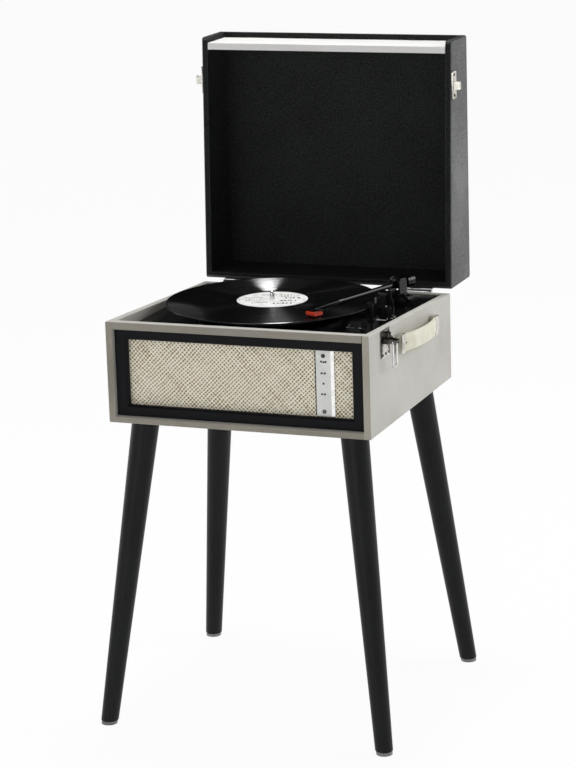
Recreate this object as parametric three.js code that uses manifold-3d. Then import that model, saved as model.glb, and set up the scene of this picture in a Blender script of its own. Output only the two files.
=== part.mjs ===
// A suitcase record player on four splayed legs, with its lid open and a record on the platter.
// Millimetres, +Z up, front of the case towards -Y. The origin is on the floor, in the middle of the whole.

import * as THREE from "three";
import { mergeVertices } from "three/addons/utils/BufferGeometryUtils.js";
import Module from "manifold-3d";

const wasm = await Module();
wasm.setup();

// Fits
const seat = 0.3; // gap between two pieces that touch
const running = 0.4; // gap round a piece that turns or slides
const overrun = 4; // how far a cutter runs past what it cuts
const weld = 0.0001; // points closer than this are one

// Record and platter
const recordRadius = 150.8;
const recordThickness = 1.5;
const labelRadius = 50;
const labelThickness = 0.3;
const spindleRadius = 3.6;
const spindleRise = 12.6; // above the record
const platterRadius = 104;
const platterHeight = 11;
const platterTop = 3;
const platterRimWall = 4;
const platterLift = 4.2; // gap under the platter's rim
const driveRingRadius = 74;
const driveRingWall = 2.4;
const platterHubRadius = 12;
const matThickness = 2;
const matInset = 3;
const beltWidth = 4;
const beltThickness = 0.9;
const pulleyRadius = 5;
const pulleyHeight = 6;
const motorRadius = 16;
const motorHeight = 24;
const motorShaftRadius = 1;
const motorAngle = THREE.MathUtils.degToRad(140);

// Case
const sideWall = 10;
const rearWall = 10;
const frontRail = 16;
const topRail = 10.5;
const bottomRail = 9;
const edgeRound = 1.5;
const cornerRound = 4;
const recordLeftGap = 14.1; // from the left wall to the record
const recordFrontGap = 16.7;
const recordRearGap = 10.7;
const armSpace = 46.3; // from the record to the right wall
const caseFrontHeight = 142.2;
const caseRearHeight = 124.6;
const undersideHeight = 437;
const deckDrop = 1.5; // deck below the rear rim
const deckThickness = 3;
const ledgeWidth = 8;
const ledgeHeight = 10;
const deckRib = 3;
const deckRibHeight = 8;

const caseWidth = 2 * sideWall + recordLeftGap + 2 * recordRadius + armSpace;
const caseDepth = frontRail + recordFrontGap + 2 * recordRadius + recordRearGap + rearWall;
const frontY = -caseDepth / 2;
const rearY = caseDepth / 2;
const innerX = caseWidth / 2 - sideWall;
const innerRearY = rearY - rearWall;
const rearRimZ = undersideHeight + caseRearHeight;
const frontRimZ = undersideHeight + caseFrontHeight;
const deckZ = rearRimZ - deckDrop;
const boardTopZ = undersideHeight + bottomRail;
const spindleX = recordLeftGap + recordRadius - innerX;
const spindleY = frontY + frontRail + recordFrontGap + recordRadius;
const platterZ = deckZ + platterLift;
const matZ = platterZ + platterHeight + seat;
const recordZ = matZ + matThickness + seat;
const recordTopZ = recordZ + recordThickness;

// Speaker front
const grilleRecess = 7;
const grilleDepth = 9;
const grilleSideBar = 17;
const grilleTopBar = 14.6;
const clothThickness = 3;
const clothOverlap = 7; // cloth panel behind the frame's side and bottom bars
const clothTopOverlap = 2.4;
const baffleThickness = 8;
const speakerRadius = 37;
const speakerDepth = 34;
const speakerFlange = 2;
const speakerConeRadius = 32;
const speakerMagnetRadius = 21;
const speakerMagnetDepth = 12;
const speakerFromSide = 99; // from the case's side to the speaker's middle
const speakerSpread = caseWidth / 2 - speakerFromSide;

// Control plate on the grille cloth
const plateWidth = 26;
const plateThickness = 1.6;
const plateBevel = 5;
const plateEndGap = 1.2;
const plateFromSide = 68.2; // from the case's right side to the plate's middle
const platePlace = caseWidth / 2 - plateFromSide;

// Lid
const lidWall = 9;
const lidPanel = 7;
const lidFrontDepth = 73.3;
const seamGap = 0.6;
const boardThickness = 9.7;
const boardRecess = 8;
const lidOpen = THREE.MathUtils.degToRad(90);

// Hinges
const hingeOut = 4.9; // pin behind the rear wall
const hingeDrop = 0.6; // pin under the rear rim
const hingeWidth = 50;
const hingeLeaf = 22;
const hingeThickness = 1.6;
const hingePinRadius = 1.5;
const hingeFromSide = 54; // from the case's side to the hinge's middle
const hingeSpread = caseWidth / 2 - hingeFromSide;

// Latches
const latchFromFront = 63;
const latchWidth = 34;
const latchHeight = 38;
const latchThickness = 1.5;
const latchTopGap = 1.5; // under the rim
const earTopGap = 5;
const earHeight = 16;
const earThickness = 1.5;
const earReach = 8;
const earSpan = 6; // between the ears
const leverPivotOut = 5.9;
const leverPivotDrop = 15.5; // under the rim
const leverStubRadius = 1.2;
const leverLength = 13.5;
const leverHalfWidth = 3;
const leverThickness = 1.2;
const leverOpen = THREE.MathUtils.degToRad(78);
const loopPivotAlong = 9;
const loopPivotIn = 0.8;
const loopWire = 1.25;
const keeperWidth = 40;
const keeperHeight = 18;
const keeperFromRim = 1;
const hookWidth = 12;
const hookOut = 11.5;
const hookThickness = 1.4;
const hookLip = 6;

// Handle
const handlePlace = 10; // its middle, behind the case's middle
const handleSpan = 162;
const handleDrop = 30; // its middle line, under the rim
const strapWidth = 24;
const strapThickness = 4.6;
const strapEndOut = 5.4;
const strapBow = 10.5;
const strapTuck = 9; // how far the strap runs into each cap
const capLength = 15;
const capWidth = 27.5;
const capOut = 10.5;
const capWall = 1.6;

// Legs
const legInsetX = 38;
const legInsetY = 40.5;
const legSplayX = 52.4;
const legSplayY = 57;
const legTopRadius = 19.4;
const legFootRadius = 12.2;
const glideHeight = 5;
const glideStep = 0.9;
const studRadius = 4;
const studHoleGap = 1;
const socketWidth = 26;
const socketHeight = 14;

// Tonearm
const armBaseRadius = 17;
const pivotAside = 5.34; // to the right of the record's edge
const pivotBehind = 86.91; // behind the spindle
const armBaseHeight = 15;
const armBossRadius = 8;
const armBossDepth = 12;
const armHeight = 30.9; // tube's middle above the deck
const overhang = 5.7;
const armTurn = THREE.MathUtils.degToRad(18);
const armOffset = THREE.MathUtils.degToRad(5);
const tubeRadius = 3.8;
const yokeRadius = 14;
const yokeThickness = 3.5;
const cheekGap = 15;
const cheekThickness = 3;
const cheekLength = 17;
const cheekHeight = 23;
const pivotBlockWidth = 13.8;
const pivotBlockLength = 14;
const pivotBlockHeight = 11;
const pivotPinRadius = 1.7;
const weightRadius = 9.5;
const weightLength = 17;
const weightReach = 15; // from the pivot back to the weight
const needleReach = 46; // from the tube's end to the needle
const shellWidth = 15;
const shellLength = 53;
const shellHeight = 7;
const shellCollar = 9;
const shellCollarWall = 1.7;
const fingerLift = 15;
const fingerThickness = 1.4;
const stylusWidth = 15.4;
const stylusLength = 18;
const stylusHeight = 6.2;
const needleLength = 5;
const needleRadius = 0.5;

// Arm rest, cueing and switches
const restAhead = 104; // in front of the arm's pivot
const restTurn = THREE.MathUtils.degToRad(1.5);
const restPostRadius = 3.2;
const restFootRadius = 6;
const restFootHeight = 2;
const restLip = 7;
const restWall = 2;
const cueReach = 29; // from the pivot to the cueing bar
const cueBarWidth = 5;
const cueBarHeight = 3;
const cueGap = 1;
const cueRodRadius = 1.8;
const cueTowerRadius = 4.6;
const cueTowerHeight = 15;
const cueSweep = THREE.MathUtils.degToRad(52);
const cueLeverOut = 23;
const cueLeverLength = 27;
const cueLeverWidth = 4;
const cueLeverThickness = 2.6;
const cueLeverHeight = 11;
const cuePinRadius = 1.3;
const knobRadius = 10;
const knobHeight = 14;
const knobAhead = 75;
const knobRight = 7;
const knobShaftRadius = 3;
const potRadius = 8.5;
const potDepth = 9;
const speedAhead = 138;
const speedLeft = 2.5;
const autoStopAhead = 176;
const autoStopRight = 9;
const switchWidth = 5;
const switchLength = 8;
const switchHeight = 6;
const switchStem = 2;
const switchTravel = 6;

// Inside and rear
const circuitWidth = 110;
const circuitDepth = 70;
const circuitThickness = 1.6;
const standoff = 8;
const standoffRadius = 3;
const partHeight = 12;
const jackFromSide = 121; // from the case's left side to the middle of the jacks, seen from the front
const jackPlace = caseWidth / 2 - jackFromSide;
const jackPlateWidth = 84;
const jackPlateHeight = 38;
const jackPlateThickness = 2.4;
const jackBodyWidth = 66;
const jackBodyHeight = 24;
const jackBodyDepth = 22;
const jackHeight = 52; // above the case's underside
const jackRadius = 4.2;
const jackBore = 1.7;
const jackReach = 8;
const jackSpacing = 15;

// Joins and cuts of three.js geometries, as closed solids.
function toSolid(geometry) {
  const bare = geometry.index ? geometry.toNonIndexed() : geometry.clone();
  bare.deleteAttribute("normal");
  bare.deleteAttribute("uv");
  const merged = mergeVertices(bare, weld);
  return new wasm.Manifold(
    new wasm.Mesh({
      numProp: 3,
      vertProperties: merged.attributes.position.array,
      triVerts: new Uint32Array(merged.index.array),
    }),
  );
}

function toGeometry(solid) {
  const mesh = solid.getMesh();
  const geometry = new THREE.BufferGeometry();
  geometry.setAttribute("position", new THREE.BufferAttribute(mesh.vertProperties, 3));
  geometry.setIndex(new THREE.BufferAttribute(mesh.triVerts, 1));
  const flat = geometry.toNonIndexed();
  flat.computeVertexNormals();
  return flat;
}

function join(first, ...others) {
  return toGeometry(others.reduce((sum, next) => sum.add(toSolid(next)), toSolid(first)));
}

function cut(first, ...tools) {
  return toGeometry(tools.reduce((sum, next) => sum.subtract(toSolid(next)), toSolid(first)));
}

function common(first, second) {
  return toGeometry(toSolid(first).intersect(toSolid(second)));
}

// A block standing on z, centred on x and y.
function block(width, depth, height, x = 0, y = 0, z = 0) {
  return new THREE.BoxGeometry(width, depth, height).translate(x, y, z + height / 2);
}

// A block between two corners.
function between(x0, x1, y0, y1, z0, z1) {
  return block(x1 - x0, y1 - y0, z1 - z0, (x0 + x1) / 2, (y0 + y1) / 2, z0);
}

// An upright rod standing on z.
function rod(radius, height, x = 0, y = 0, z = 0, sides = 24) {
  const geometry = new THREE.CylinderGeometry(radius, radius, height, sides);
  return geometry.rotateX(Math.PI / 2).translate(x, y, z + height / 2);
}

// A rod lying along X or Y, centred on its place.
function rodAlongX(radius, length, x, y, z, sides = 16) {
  const geometry = new THREE.CylinderGeometry(radius, radius, length, sides);
  return geometry.rotateZ(Math.PI / 2).translate(x, y, z);
}

function rodAlongY(radius, length, x, y, z, sides = 16) {
  return new THREE.CylinderGeometry(radius, radius, length, sides).translate(x, y, z);
}

// A turned piece: the profile lists [radius, height] up the outside and back down the axis or bore.
function turned(profile, sides) {
  const points = profile.map(([radius, height]) => new THREE.Vector2(radius, height));
  if (profile[0][0] > 0) {
    points.push(points[0].clone());
  }
  return new THREE.LatheGeometry(points, sides).rotateX(Math.PI / 2);
}

// An outline through the given corners, each rounded.
function outline(corners, radius) {
  const shape = new THREE.Shape();
  corners.forEach(([x, y], i) => {
    const here = new THREE.Vector2(x, y);
    const before = new THREE.Vector2(...corners[(i + corners.length - 1) % corners.length]);
    const after = new THREE.Vector2(...corners[(i + 1) % corners.length]);
    const start = here.clone().add(before.sub(here).setLength(radius));
    const end = here.clone().add(after.sub(here).setLength(radius));
    if (i === 0) {
      shape.moveTo(start.x, start.y);
    } else {
      shape.lineTo(start.x, start.y);
    }
    shape.quadraticCurveTo(here.x, here.y, end.x, end.y);
  });
  shape.closePath();
  return shape;
}

function polygon(corners) {
  return new THREE.Shape(corners.map(([x, y]) => new THREE.Vector2(x, y)));
}

function rectangle(width, height, radius) {
  const w = width / 2;
  const h = height / 2;
  return outline([[-w, -h], [w, -h], [w, h], [-w, h]], radius);
}

// A plate of an outline in X and Y, standing on z.
function plate(shape, thickness, x = 0, y = 0, z = 0, steps = 3) {
  const options = { depth: thickness, bevelEnabled: false, curveSegments: steps };
  return new THREE.ExtrudeGeometry(shape, options).translate(x, y, z);
}

// Turns a plate so that its outline lies in Y and Z and its thickness runs along X.
const ontoX = new THREE.Matrix4().makeBasis(
  new THREE.Vector3(0, 1, 0),
  new THREE.Vector3(0, 0, 1),
  new THREE.Vector3(1, 0, 0),
);

// A bar of an outline in Y and Z, centred along X, with its two ends rounded over.
function bar(shape, length, round) {
  const options = {
    depth: length - 2 * round,
    bevelThickness: round,
    bevelSize: round,
    bevelOffset: -round,
    bevelSegments: 2,
    curveSegments: 2,
  };
  const geometry = new THREE.ExtrudeGeometry(shape, options);
  return geometry.translate(0, 0, round - length / 2).applyMatrix4(ontoX);
}

// A plain bar of an outline in Y and Z, centred along X.
function plainBar(shape, length, steps = 3) {
  return plate(shape, length, 0, 0, -length / 2, steps).applyMatrix4(ontoX);
}

// A plate with its outline in X and Z, whose front face is at y and which runs back from it.
function upright(shape, thickness, x, y, z, steps = 3) {
  const options = { depth: thickness, bevelEnabled: false, curveSegments: steps };
  const geometry = new THREE.ExtrudeGeometry(shape, options).rotateX(Math.PI / 2);
  return geometry.translate(x, y + thickness, z);
}

const finishes = {
  greige: [0xb9b6ad, 0.75, 0],
  blackLeather: [0x232425, 0.6, 0],
  paleBoard: [0xc9c5ba, 0.7, 0],
  blackPlastic: [0x141416, 0.3, 0],
  mattBlack: [0x1b1b1c, 0.6, 0],
  vinyl: [0x0b0b0c, 0.25, 0],
  paper: [0xe9e8e4, 0.7, 0],
  cloth: [0xcdbf9c, 0.95, 0],
  silver: [0xcfd0d0, 0.35, 0.6],
  chrome: [0xd8d8d6, 0.12, 1],
  steel: [0xa9abac, 0.35, 1],
  rubber: [0x1c1c1c, 0.9, 0],
  red: [0xd8361a, 0.4, 0],
  cream: [0xdedcc9, 0.6, 0],
  board: [0xb59a72, 0.85, 0],
  circuitGreen: [0x1f5a3a, 0.5, 0],
  leg: [0x1d1e1f, 0.45, 0],
  grey: [0x8d8f8f, 0.5, 0],
};

function mesh(name, geometry, finish) {
  const [color, roughness, metalness] = finishes[finish];
  const made = new THREE.Mesh(
    geometry,
    new THREE.MeshStandardMaterial({ color, roughness, metalness }),
  );
  made.name = name;
  return made;
}

// Height of the case's rim above the underside's level, at a place from front to rear.
function rimZ(y) {
  return frontRimZ + ((y - frontY) / caseDepth) * (rearRimZ - frontRimZ);
}

// Case: a wedge-shaped tube of four walls, with ledges for the deck and a window for the speaker front.
function caseShell() {
  const side = [
    [frontY, undersideHeight],
    [rearY, undersideHeight],
    [rearY, rearRimZ],
    [frontY, frontRimZ],
  ];
  const walls = bar(outline(side, cornerRound), caseWidth, edgeRound);
  const hollow = between(
    -innerX,
    innerX,
    frontY + frontRail,
    innerRearY,
    undersideHeight - overrun,
    frontRimZ + overrun,
  );
  const window = between(
    -innerX,
    innerX,
    frontY - overrun,
    frontY + frontRail + overrun,
    boardTopZ,
    frontRimZ - topRail,
  );
  const ledgeTop = deckZ - deckThickness - seat;
  const ledgeFront = frontY + frontRail + clothThickness + baffleThickness + 3 * seat;
  const ledges = [-1, 1].map((hand) =>
    block(
      ledgeWidth + sideWall / 2,
      innerRearY - ledgeFront,
      ledgeHeight,
      hand * (innerX + sideWall / 4 - ledgeWidth / 2),
      (innerRearY + ledgeFront) / 2,
      ledgeTop - ledgeHeight,
    ),
  );
  const rearLedge = between(
    -innerX,
    innerX,
    innerRearY - ledgeWidth,
    innerRearY + rearWall / 2,
    ledgeTop - ledgeHeight,
    ledgeTop,
  );
  const jackHole = block(
    jackBodyWidth + 2 * running,
    rearWall + 2 * overrun,
    jackBodyHeight + 2 * running,
    -jackPlace,
    rearY - rearWall / 2,
    undersideHeight + jackHeight - jackBodyHeight / 2 - running,
  );
  const shell = join(cut(walls, hollow, window), ...ledges, rearLedge);
  return mesh("case_shell", cut(shell, jackHole), "greige");
}

// The four legs stand at the corners; hands are -1 or 1 to the right and to the rear.
const corners = [
  ["front_left", -1, -1],
  ["front_right", 1, -1],
  ["rear_left", -1, 1],
  ["rear_right", 1, 1],
];

function legAxis(handX, handY) {
  const top = new THREE.Vector3(
    handX * (caseWidth / 2 - legInsetX),
    handY * (caseDepth / 2 - legInsetY),
    undersideHeight,
  );
  const foot = new THREE.Vector3(top.x + handX * legSplayX, top.y + handY * legSplayY, 0);
  return { top, foot, along: top.clone().sub(foot).normalize() };
}

// A round piece along a leg's axis; its radii are those at the foot and at the underside.
function alongLeg(axis, footRadius, topRadius, from, to, sides) {
  const length = axis.top.distanceTo(axis.foot);
  const radiusAt = (s) => footRadius + ((topRadius - footRadius) * s) / length;
  const geometry = new THREE.CylinderGeometry(radiusAt(to), radiusAt(from), to - from, sides);
  const turn = new THREE.Quaternion().setFromUnitVectors(new THREE.Vector3(0, 1, 0), axis.along);
  const middle = axis.foot.clone().addScaledVector(axis.along, (from + to) / 2);
  return geometry.applyQuaternion(turn).translate(middle.x, middle.y, middle.z);
}

function layer(z0, z1) {
  return block(2 * caseWidth, 2 * caseDepth, z1 - z0, 0, 0, z0);
}

function legPieces(name, handX, handY) {
  const axis = legAxis(handX, handY);
  const length = axis.top.distanceTo(axis.foot);
  const past = 2 * legTopRadius;
  const studTop = length + bottomRail + socketHeight;
  const taper = alongLeg(axis, legFootRadius, legTopRadius, -past, length + past, 28);
  const leg = common(taper, layer(glideHeight + seat, undersideHeight - seat));
  const stud = alongLeg(axis, studRadius, studRadius, length - past, studTop, 12);
  const glideRadius = legFootRadius - glideStep;
  const glide = common(
    alongLeg(axis, glideRadius, glideRadius, -past, past, 24),
    layer(0, glideHeight),
  );
  const socketCentre = axis.foot
    .clone()
    .addScaledVector(axis.along, length + bottomRail + socketHeight / 2);
  const hole = studRadius + seat;
  const bore = alongLeg(axis, hole, hole, length - past, studTop + past, 12);
  const socket = cut(
    plate(
      rectangle(socketWidth, socketWidth, cornerRound),
      socketHeight,
      socketCentre.x,
      socketCentre.y,
      boardTopZ + seat,
    ),
    bore,
  );
  return [
    mesh(`leg_${name}`, join(leg, stud), "leg"),
    mesh(`leg_glide_${name}`, glide, "grey"),
    mesh(`leg_socket_${name}`, socket, "steel"),
  ];
}

// Bottom board, let into the walls, with a slanted hole for each leg's stud.
function bottomBoard() {
  const board = between(
    seat - innerX,
    innerX - seat,
    frontY + frontRail + seat,
    innerRearY - seat,
    undersideHeight,
    boardTopZ,
  );
  const holeRadius = studRadius + studHoleGap;
  const holes = corners.map(([, handX, handY]) => {
    const axis = legAxis(handX, handY);
    const length = axis.top.distanceTo(axis.foot);
    return alongLeg(
      axis,
      holeRadius,
      holeRadius,
      length - 2 * bottomRail,
      length + 2 * bottomRail,
      12,
    );
  });
  return mesh("bottom_board", cut(board, ...holes), "board");
}

// Speaker front: black frame let into the window, cloth panel and baffle behind it, two speakers.
const windowLow = boardTopZ + seat;
const windowHigh = frontRimZ - topRail - seat;
const clothLow = windowLow + grilleTopBar;
const clothHigh = windowHigh - grilleTopBar;
const frameFrontY = frontY + grilleRecess;
const clothY = frameFrontY + grilleDepth + seat;
const baffleY = clothY + clothThickness + seat;

function speakerFront() {
  const frameWidth = 2 * (innerX - seat);
  const windowWidth = frameWidth - 2 * grilleSideBar;
  const middle = (windowLow + windowHigh) / 2;
  const frameShape = rectangle(frameWidth, windowHigh - windowLow, seat);
  frameShape.holes.push(rectangle(windowWidth, clothHigh - clothLow, seat));
  const frame = upright(frameShape, grilleDepth, 0, frameFrontY, middle, 1);
  const panelHigh = clothHigh + clothTopOverlap;
  const panelLow = clothLow - clothOverlap;
  const panelWidth = windowWidth + 2 * clothOverlap;
  const cloth = between(
    -panelWidth / 2,
    panelWidth / 2,
    clothY,
    clothY + clothThickness,
    panelLow,
    panelHigh,
  );
  const baffleShape = rectangle(frameWidth, panelHigh - windowLow, seat);
  const speakerZ = (clothLow + clothHigh) / 2;
  const baffleMiddle = (panelHigh + windowLow) / 2;
  for (const hand of [-1, 1]) {
    const hole = new THREE.Path();
    hole.absarc(hand * speakerSpread, speakerZ - baffleMiddle, speakerConeRadius, 0, 2 * Math.PI, true);
    baffleShape.holes.push(hole);
  }
  const baffle = upright(baffleShape, baffleThickness, 0, baffleY, baffleMiddle, 16);
  return [
    mesh("grille_frame", frame, "mattBlack"),
    mesh("grille_cloth", cloth, "cloth"),
    mesh("speaker_baffle", baffle, "board"),
    ...[-1, 1].map((hand) => speaker(hand, speakerZ)),
  ];
}

// A loudspeaker: flange, hollow cone basket and magnet, facing the front.
function speaker(hand, z) {
  const basketDepth = speakerDepth - speakerMagnetDepth;
  const profile = [
    [0, speakerDepth],
    [speakerMagnetRadius, speakerDepth],
    [speakerMagnetRadius, basketDepth],
    [speakerConeRadius, speakerFlange],
    [speakerRadius, speakerFlange],
    [speakerRadius, 0],
    [speakerConeRadius - 2 * speakerFlange, 0],
    [speakerMagnetRadius / 2, basketDepth - speakerFlange],
    [0, basketDepth - 2 * speakerFlange],
  ];
  const geometry = new THREE.LatheGeometry(
    profile.map(([radius, depth]) => new THREE.Vector2(radius, -depth)),
    28,
  );
  geometry.rotateX(Math.PI);
  const made = mesh(hand > 0 ? "speaker_right" : "speaker_left", geometry, "mattBlack");
  made.position.set(hand * speakerSpread, baffleY + baffleThickness + seat, z);
  return made;
}

// Control plate: a silver strip with a bevelled right edge, seated on the cloth between the bars.
function controlPlate() {
  const half = plateWidth / 2;
  const section = polygon([
    [-half, 0],
    [-half, -plateThickness],
    [half - plateBevel, -plateThickness],
    [half, -plateThickness / 4],
    [half, 0],
  ]);
  const height = clothHigh - clothLow - 2 * plateEndGap;
  const strip = plate(section, height, platePlace, clothY - seat, clothLow + plateEndGap);
  return mesh("control_plate", strip, "silver");
}

// Deck: a thin moulded plate on the ledges, ribbed underneath, open for what passes through it.
const motorX = spindleX + (driveRingRadius + pulleyRadius + 4 * beltThickness) * Math.cos(motorAngle);
const motorY = spindleY + (driveRingRadius + pulleyRadius + 4 * beltThickness) * Math.sin(motorAngle);
const pivotX = spindleX + recordRadius + pivotAside;
const pivotY = spindleY + pivotBehind;
const pivotDistance = Math.hypot(pivotX - spindleX, pivotY - spindleY);
const knobX = pivotX + knobRight;
const knobY = pivotY - knobAhead;
const restX = pivotX - restAhead * Math.sin(restTurn);
const restY = pivotY - restAhead * Math.cos(restTurn);
const cueTowerX = pivotX;
const cueTowerY = pivotY - cueReach;
const switches = [
  ["speed_switch", pivotX - speedLeft, pivotY - speedAhead],
  ["auto_stop_switch", pivotX + autoStopRight, pivotY - autoStopAhead],
];

function deckPlate() {
  const deckFront = clothY;
  const width = 2 * (innerX - seat);
  const depth = innerRearY - seat - deckFront;
  const ribInset = ledgeWidth + 2 * seat;
  const ribWidth = width - 2 * ribInset;
  const ribFront = deckFront + clothThickness + baffleThickness + 3 * seat;
  const ribDepth = innerRearY - ribInset - ribFront;
  const ribY = ribFront + ribDepth / 2;
  const low = deckZ - deckThickness;
  const top = plate(
    rectangle(width, depth, seat),
    deckThickness,
    0,
    deckFront + depth / 2,
    low,
    1,
  );
  const rib = cut(
    block(ribWidth, ribDepth, deckRibHeight, 0, ribY, low - deckRibHeight + deckThickness / 2),
    block(
      ribWidth - 2 * deckRib,
      ribDepth - 2 * deckRib,
      deckRibHeight + 2 * overrun,
      0,
      ribY,
      low - deckRibHeight - overrun,
    ),
  );
  const through = (radius, x, y) => rod(radius, 4 * deckThickness, x, y, low - deckThickness, 20);
  const slots = switches.map(([, x, y]) =>
    block(
      switchStem + 2 * running,
      switchStem + switchTravel + 2 * running,
      4 * deckThickness,
      x,
      y + switchTravel / 2,
      low - deckThickness,
    ),
  );
  const deck = cut(
    join(top, rib),
    through(bearingRadius + seat, spindleX, spindleY),
    through(pulleyRadius + 4 * running, motorX, motorY),
    through(armBossRadius + seat, pivotX, pivotY),
    through(knobShaftRadius + running, knobX, knobY),
    ...slots,
  );
  return mesh("deck_plate", deck, "blackPlastic");
}

// Spindle: a fixed shaft in a flanged bearing that hangs through the deck.
const bearingRadius = 1.8 * spindleRadius;
const bearingDepth = 6 * spindleRadius;

function spindle() {
  const flangeTop = deckZ + seat + platterLift / 3;
  const profile = [
    [0, deckZ - deckThickness - bearingDepth],
    [bearingRadius, deckZ - deckThickness - bearingDepth],
    [bearingRadius, deckZ + seat],
    [platterHubRadius, deckZ + seat],
    [platterHubRadius, flangeTop],
    [spindleRadius, flangeTop],
    [spindleRadius, recordTopZ + spindleRise - spindleRadius],
    [0.7 * spindleRadius, recordTopZ + spindleRise - 0.3 * spindleRadius],
    [0, recordTopZ + spindleRise],
  ];
  return mesh("spindle", turned(profile, 20).translate(spindleX, spindleY, 0), "chrome");
}

// Turntable: platter with a rim, a drive ring and a hub, then mat, record and label.
function turntable() {
  const bore = spindleRadius + seat;
  const under = platterHeight - platterTop;
  const ringInner = driveRingRadius - driveRingWall;
  const platter = turned(
    [
      [bore, 0],
      [platterHubRadius, 0],
      [platterHubRadius, under],
      [ringInner, under],
      [ringInner, 0],
      [driveRingRadius, 0],
      [driveRingRadius, under],
      [platterRadius - platterRimWall, under],
      [platterRadius - platterRimWall, 0],
      [platterRadius, 0],
      [platterRadius, platterHeight],
      [bore, platterHeight],
    ],
    48,
  );
  const disc = (radius, thickness, sides) =>
    turned(
      [
        [bore, 0],
        [radius, 0],
        [radius, thickness],
        [bore, thickness],
      ],
      sides,
    );
  const labelSeat = labelRadius + seat;
  const recess = labelThickness / 2;
  const record = turned(
    [
      [bore, 0],
      [recordRadius, 0],
      [recordRadius, recordThickness],
      [labelSeat, recordThickness],
      [labelSeat, recordThickness - recess],
      [bore, recordThickness - recess],
    ],
    72,
  );
  const pieces = [
    [mesh("platter", platter, "mattBlack"), platterZ],
    [mesh("slip_mat", disc(platterRadius - matInset, matThickness, 48), "rubber"), matZ],
    [mesh("record", record, "vinyl"), recordZ],
    [
      mesh("record_label", disc(labelRadius, labelThickness, 40), "paper"),
      recordTopZ - recess + seat / 3,
    ],
  ];
  return pieces.map(([piece, z]) => {
    piece.position.set(spindleX, spindleY, z);
    return piece;
  });
}

// Drive: a motor under the deck, its pulley, and a flat belt round the pulley and the drive ring.
function drive() {
  const motorTop = deckZ - deckThickness - seat;
  const shaftHole = motorShaftRadius + seat;
  const motor = cut(
    rod(motorRadius, motorHeight, motorX, motorY, motorTop - motorHeight, 28),
    rod(shaftHole, motorHeight / 2, motorX, motorY, motorTop - motorHeight / 2 + overrun, 12),
  );
  const pulleyZ = platterZ + platterHeight - platterTop - running - pulleyHeight;
  const beltZ = pulleyZ + (pulleyHeight - beltWidth) / 2;
  const shaftLow = motorTop - motorHeight / 4;
  const pulley = join(
    rod(pulleyRadius, pulleyHeight, motorX, motorY, pulleyZ, 20),
    rod(motorShaftRadius, pulleyZ + pulleyHeight / 2 - shaftLow, motorX, motorY, shaftLow, 12),
  );
  const inner = beltLoop(seat);
  const outer = beltLoop(seat + beltThickness);
  const belt = outer;
  belt.holes.push(inner);
  const loop = plate(belt, beltWidth, 0, 0, 0, 40);
  loop.rotateZ(motorAngle).translate(spindleX, spindleY, beltZ);
  return [
    mesh("motor", motor, "steel"),
    mesh("motor_pulley", pulley, "steel"),
    mesh("drive_belt", loop, "rubber"),
  ];
}

// The belt's line at a distance from the ring and the pulley, with the pulley along +X.
function beltLoop(away) {
  const big = driveRingRadius + away;
  const small = pulleyRadius + away;
  const apart = Math.hypot(motorX - spindleX, motorY - spindleY);
  const open = Math.acos((big - small) / apart);
  const shape = new THREE.Shape();
  shape.absarc(0, 0, big, open, 2 * Math.PI - open, false);
  shape.absarc(apart, 0, small, -open, open, false);
  shape.closePath();
  return shape;
}

// Tonearm: base on the deck with the cueing tower, yoke that swings, arm that lifts.
const armZ = deckZ + armHeight;
const armLength = pivotDistance + overhang;
const tubeLength = armLength - needleReach;

function tonearmBase() {
  const base = rod(armBaseRadius, armBaseHeight, pivotX, pivotY, deckZ + seat, 32);
  const boss = rod(
    armBossRadius,
    armBossDepth + armBaseHeight / 2,
    pivotX,
    pivotY,
    deckZ - armBossDepth,
    20,
  );
  const foot = block(
    2 * cueTowerRadius,
    cueReach,
    restFootHeight,
    cueTowerX,
    (pivotY + cueTowerY) / 2,
    deckZ + seat,
  );
  const tower = rod(cueTowerRadius, cueTowerHeight, cueTowerX, cueTowerY, deckZ + seat, 16);
  const bore = rod(
    cueRodRadius + running,
    cueTowerHeight,
    cueTowerX,
    cueTowerY,
    deckZ + seat + restFootHeight,
    12,
  );
  const cheekOut = cueLeverOut - cueLeverThickness / 2 - running;
  const bracket = between(
    pivotX,
    pivotX + cheekOut,
    pivotY - cueLeverWidth,
    pivotY + cueLeverWidth,
    deckZ + seat,
    deckZ + cueLeverHeight + cueLeverWidth,
  );
  const pinHole = rodAlongX(
    cuePinRadius + running,
    armBaseRadius,
    pivotX + cheekOut,
    pivotY,
    deckZ + cueLeverHeight,
    12,
  );
  const built = join(base, boss, foot, tower, bracket);
  return mesh("tonearm_base", cut(built, bore, pinHole), "blackPlastic");
}

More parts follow.
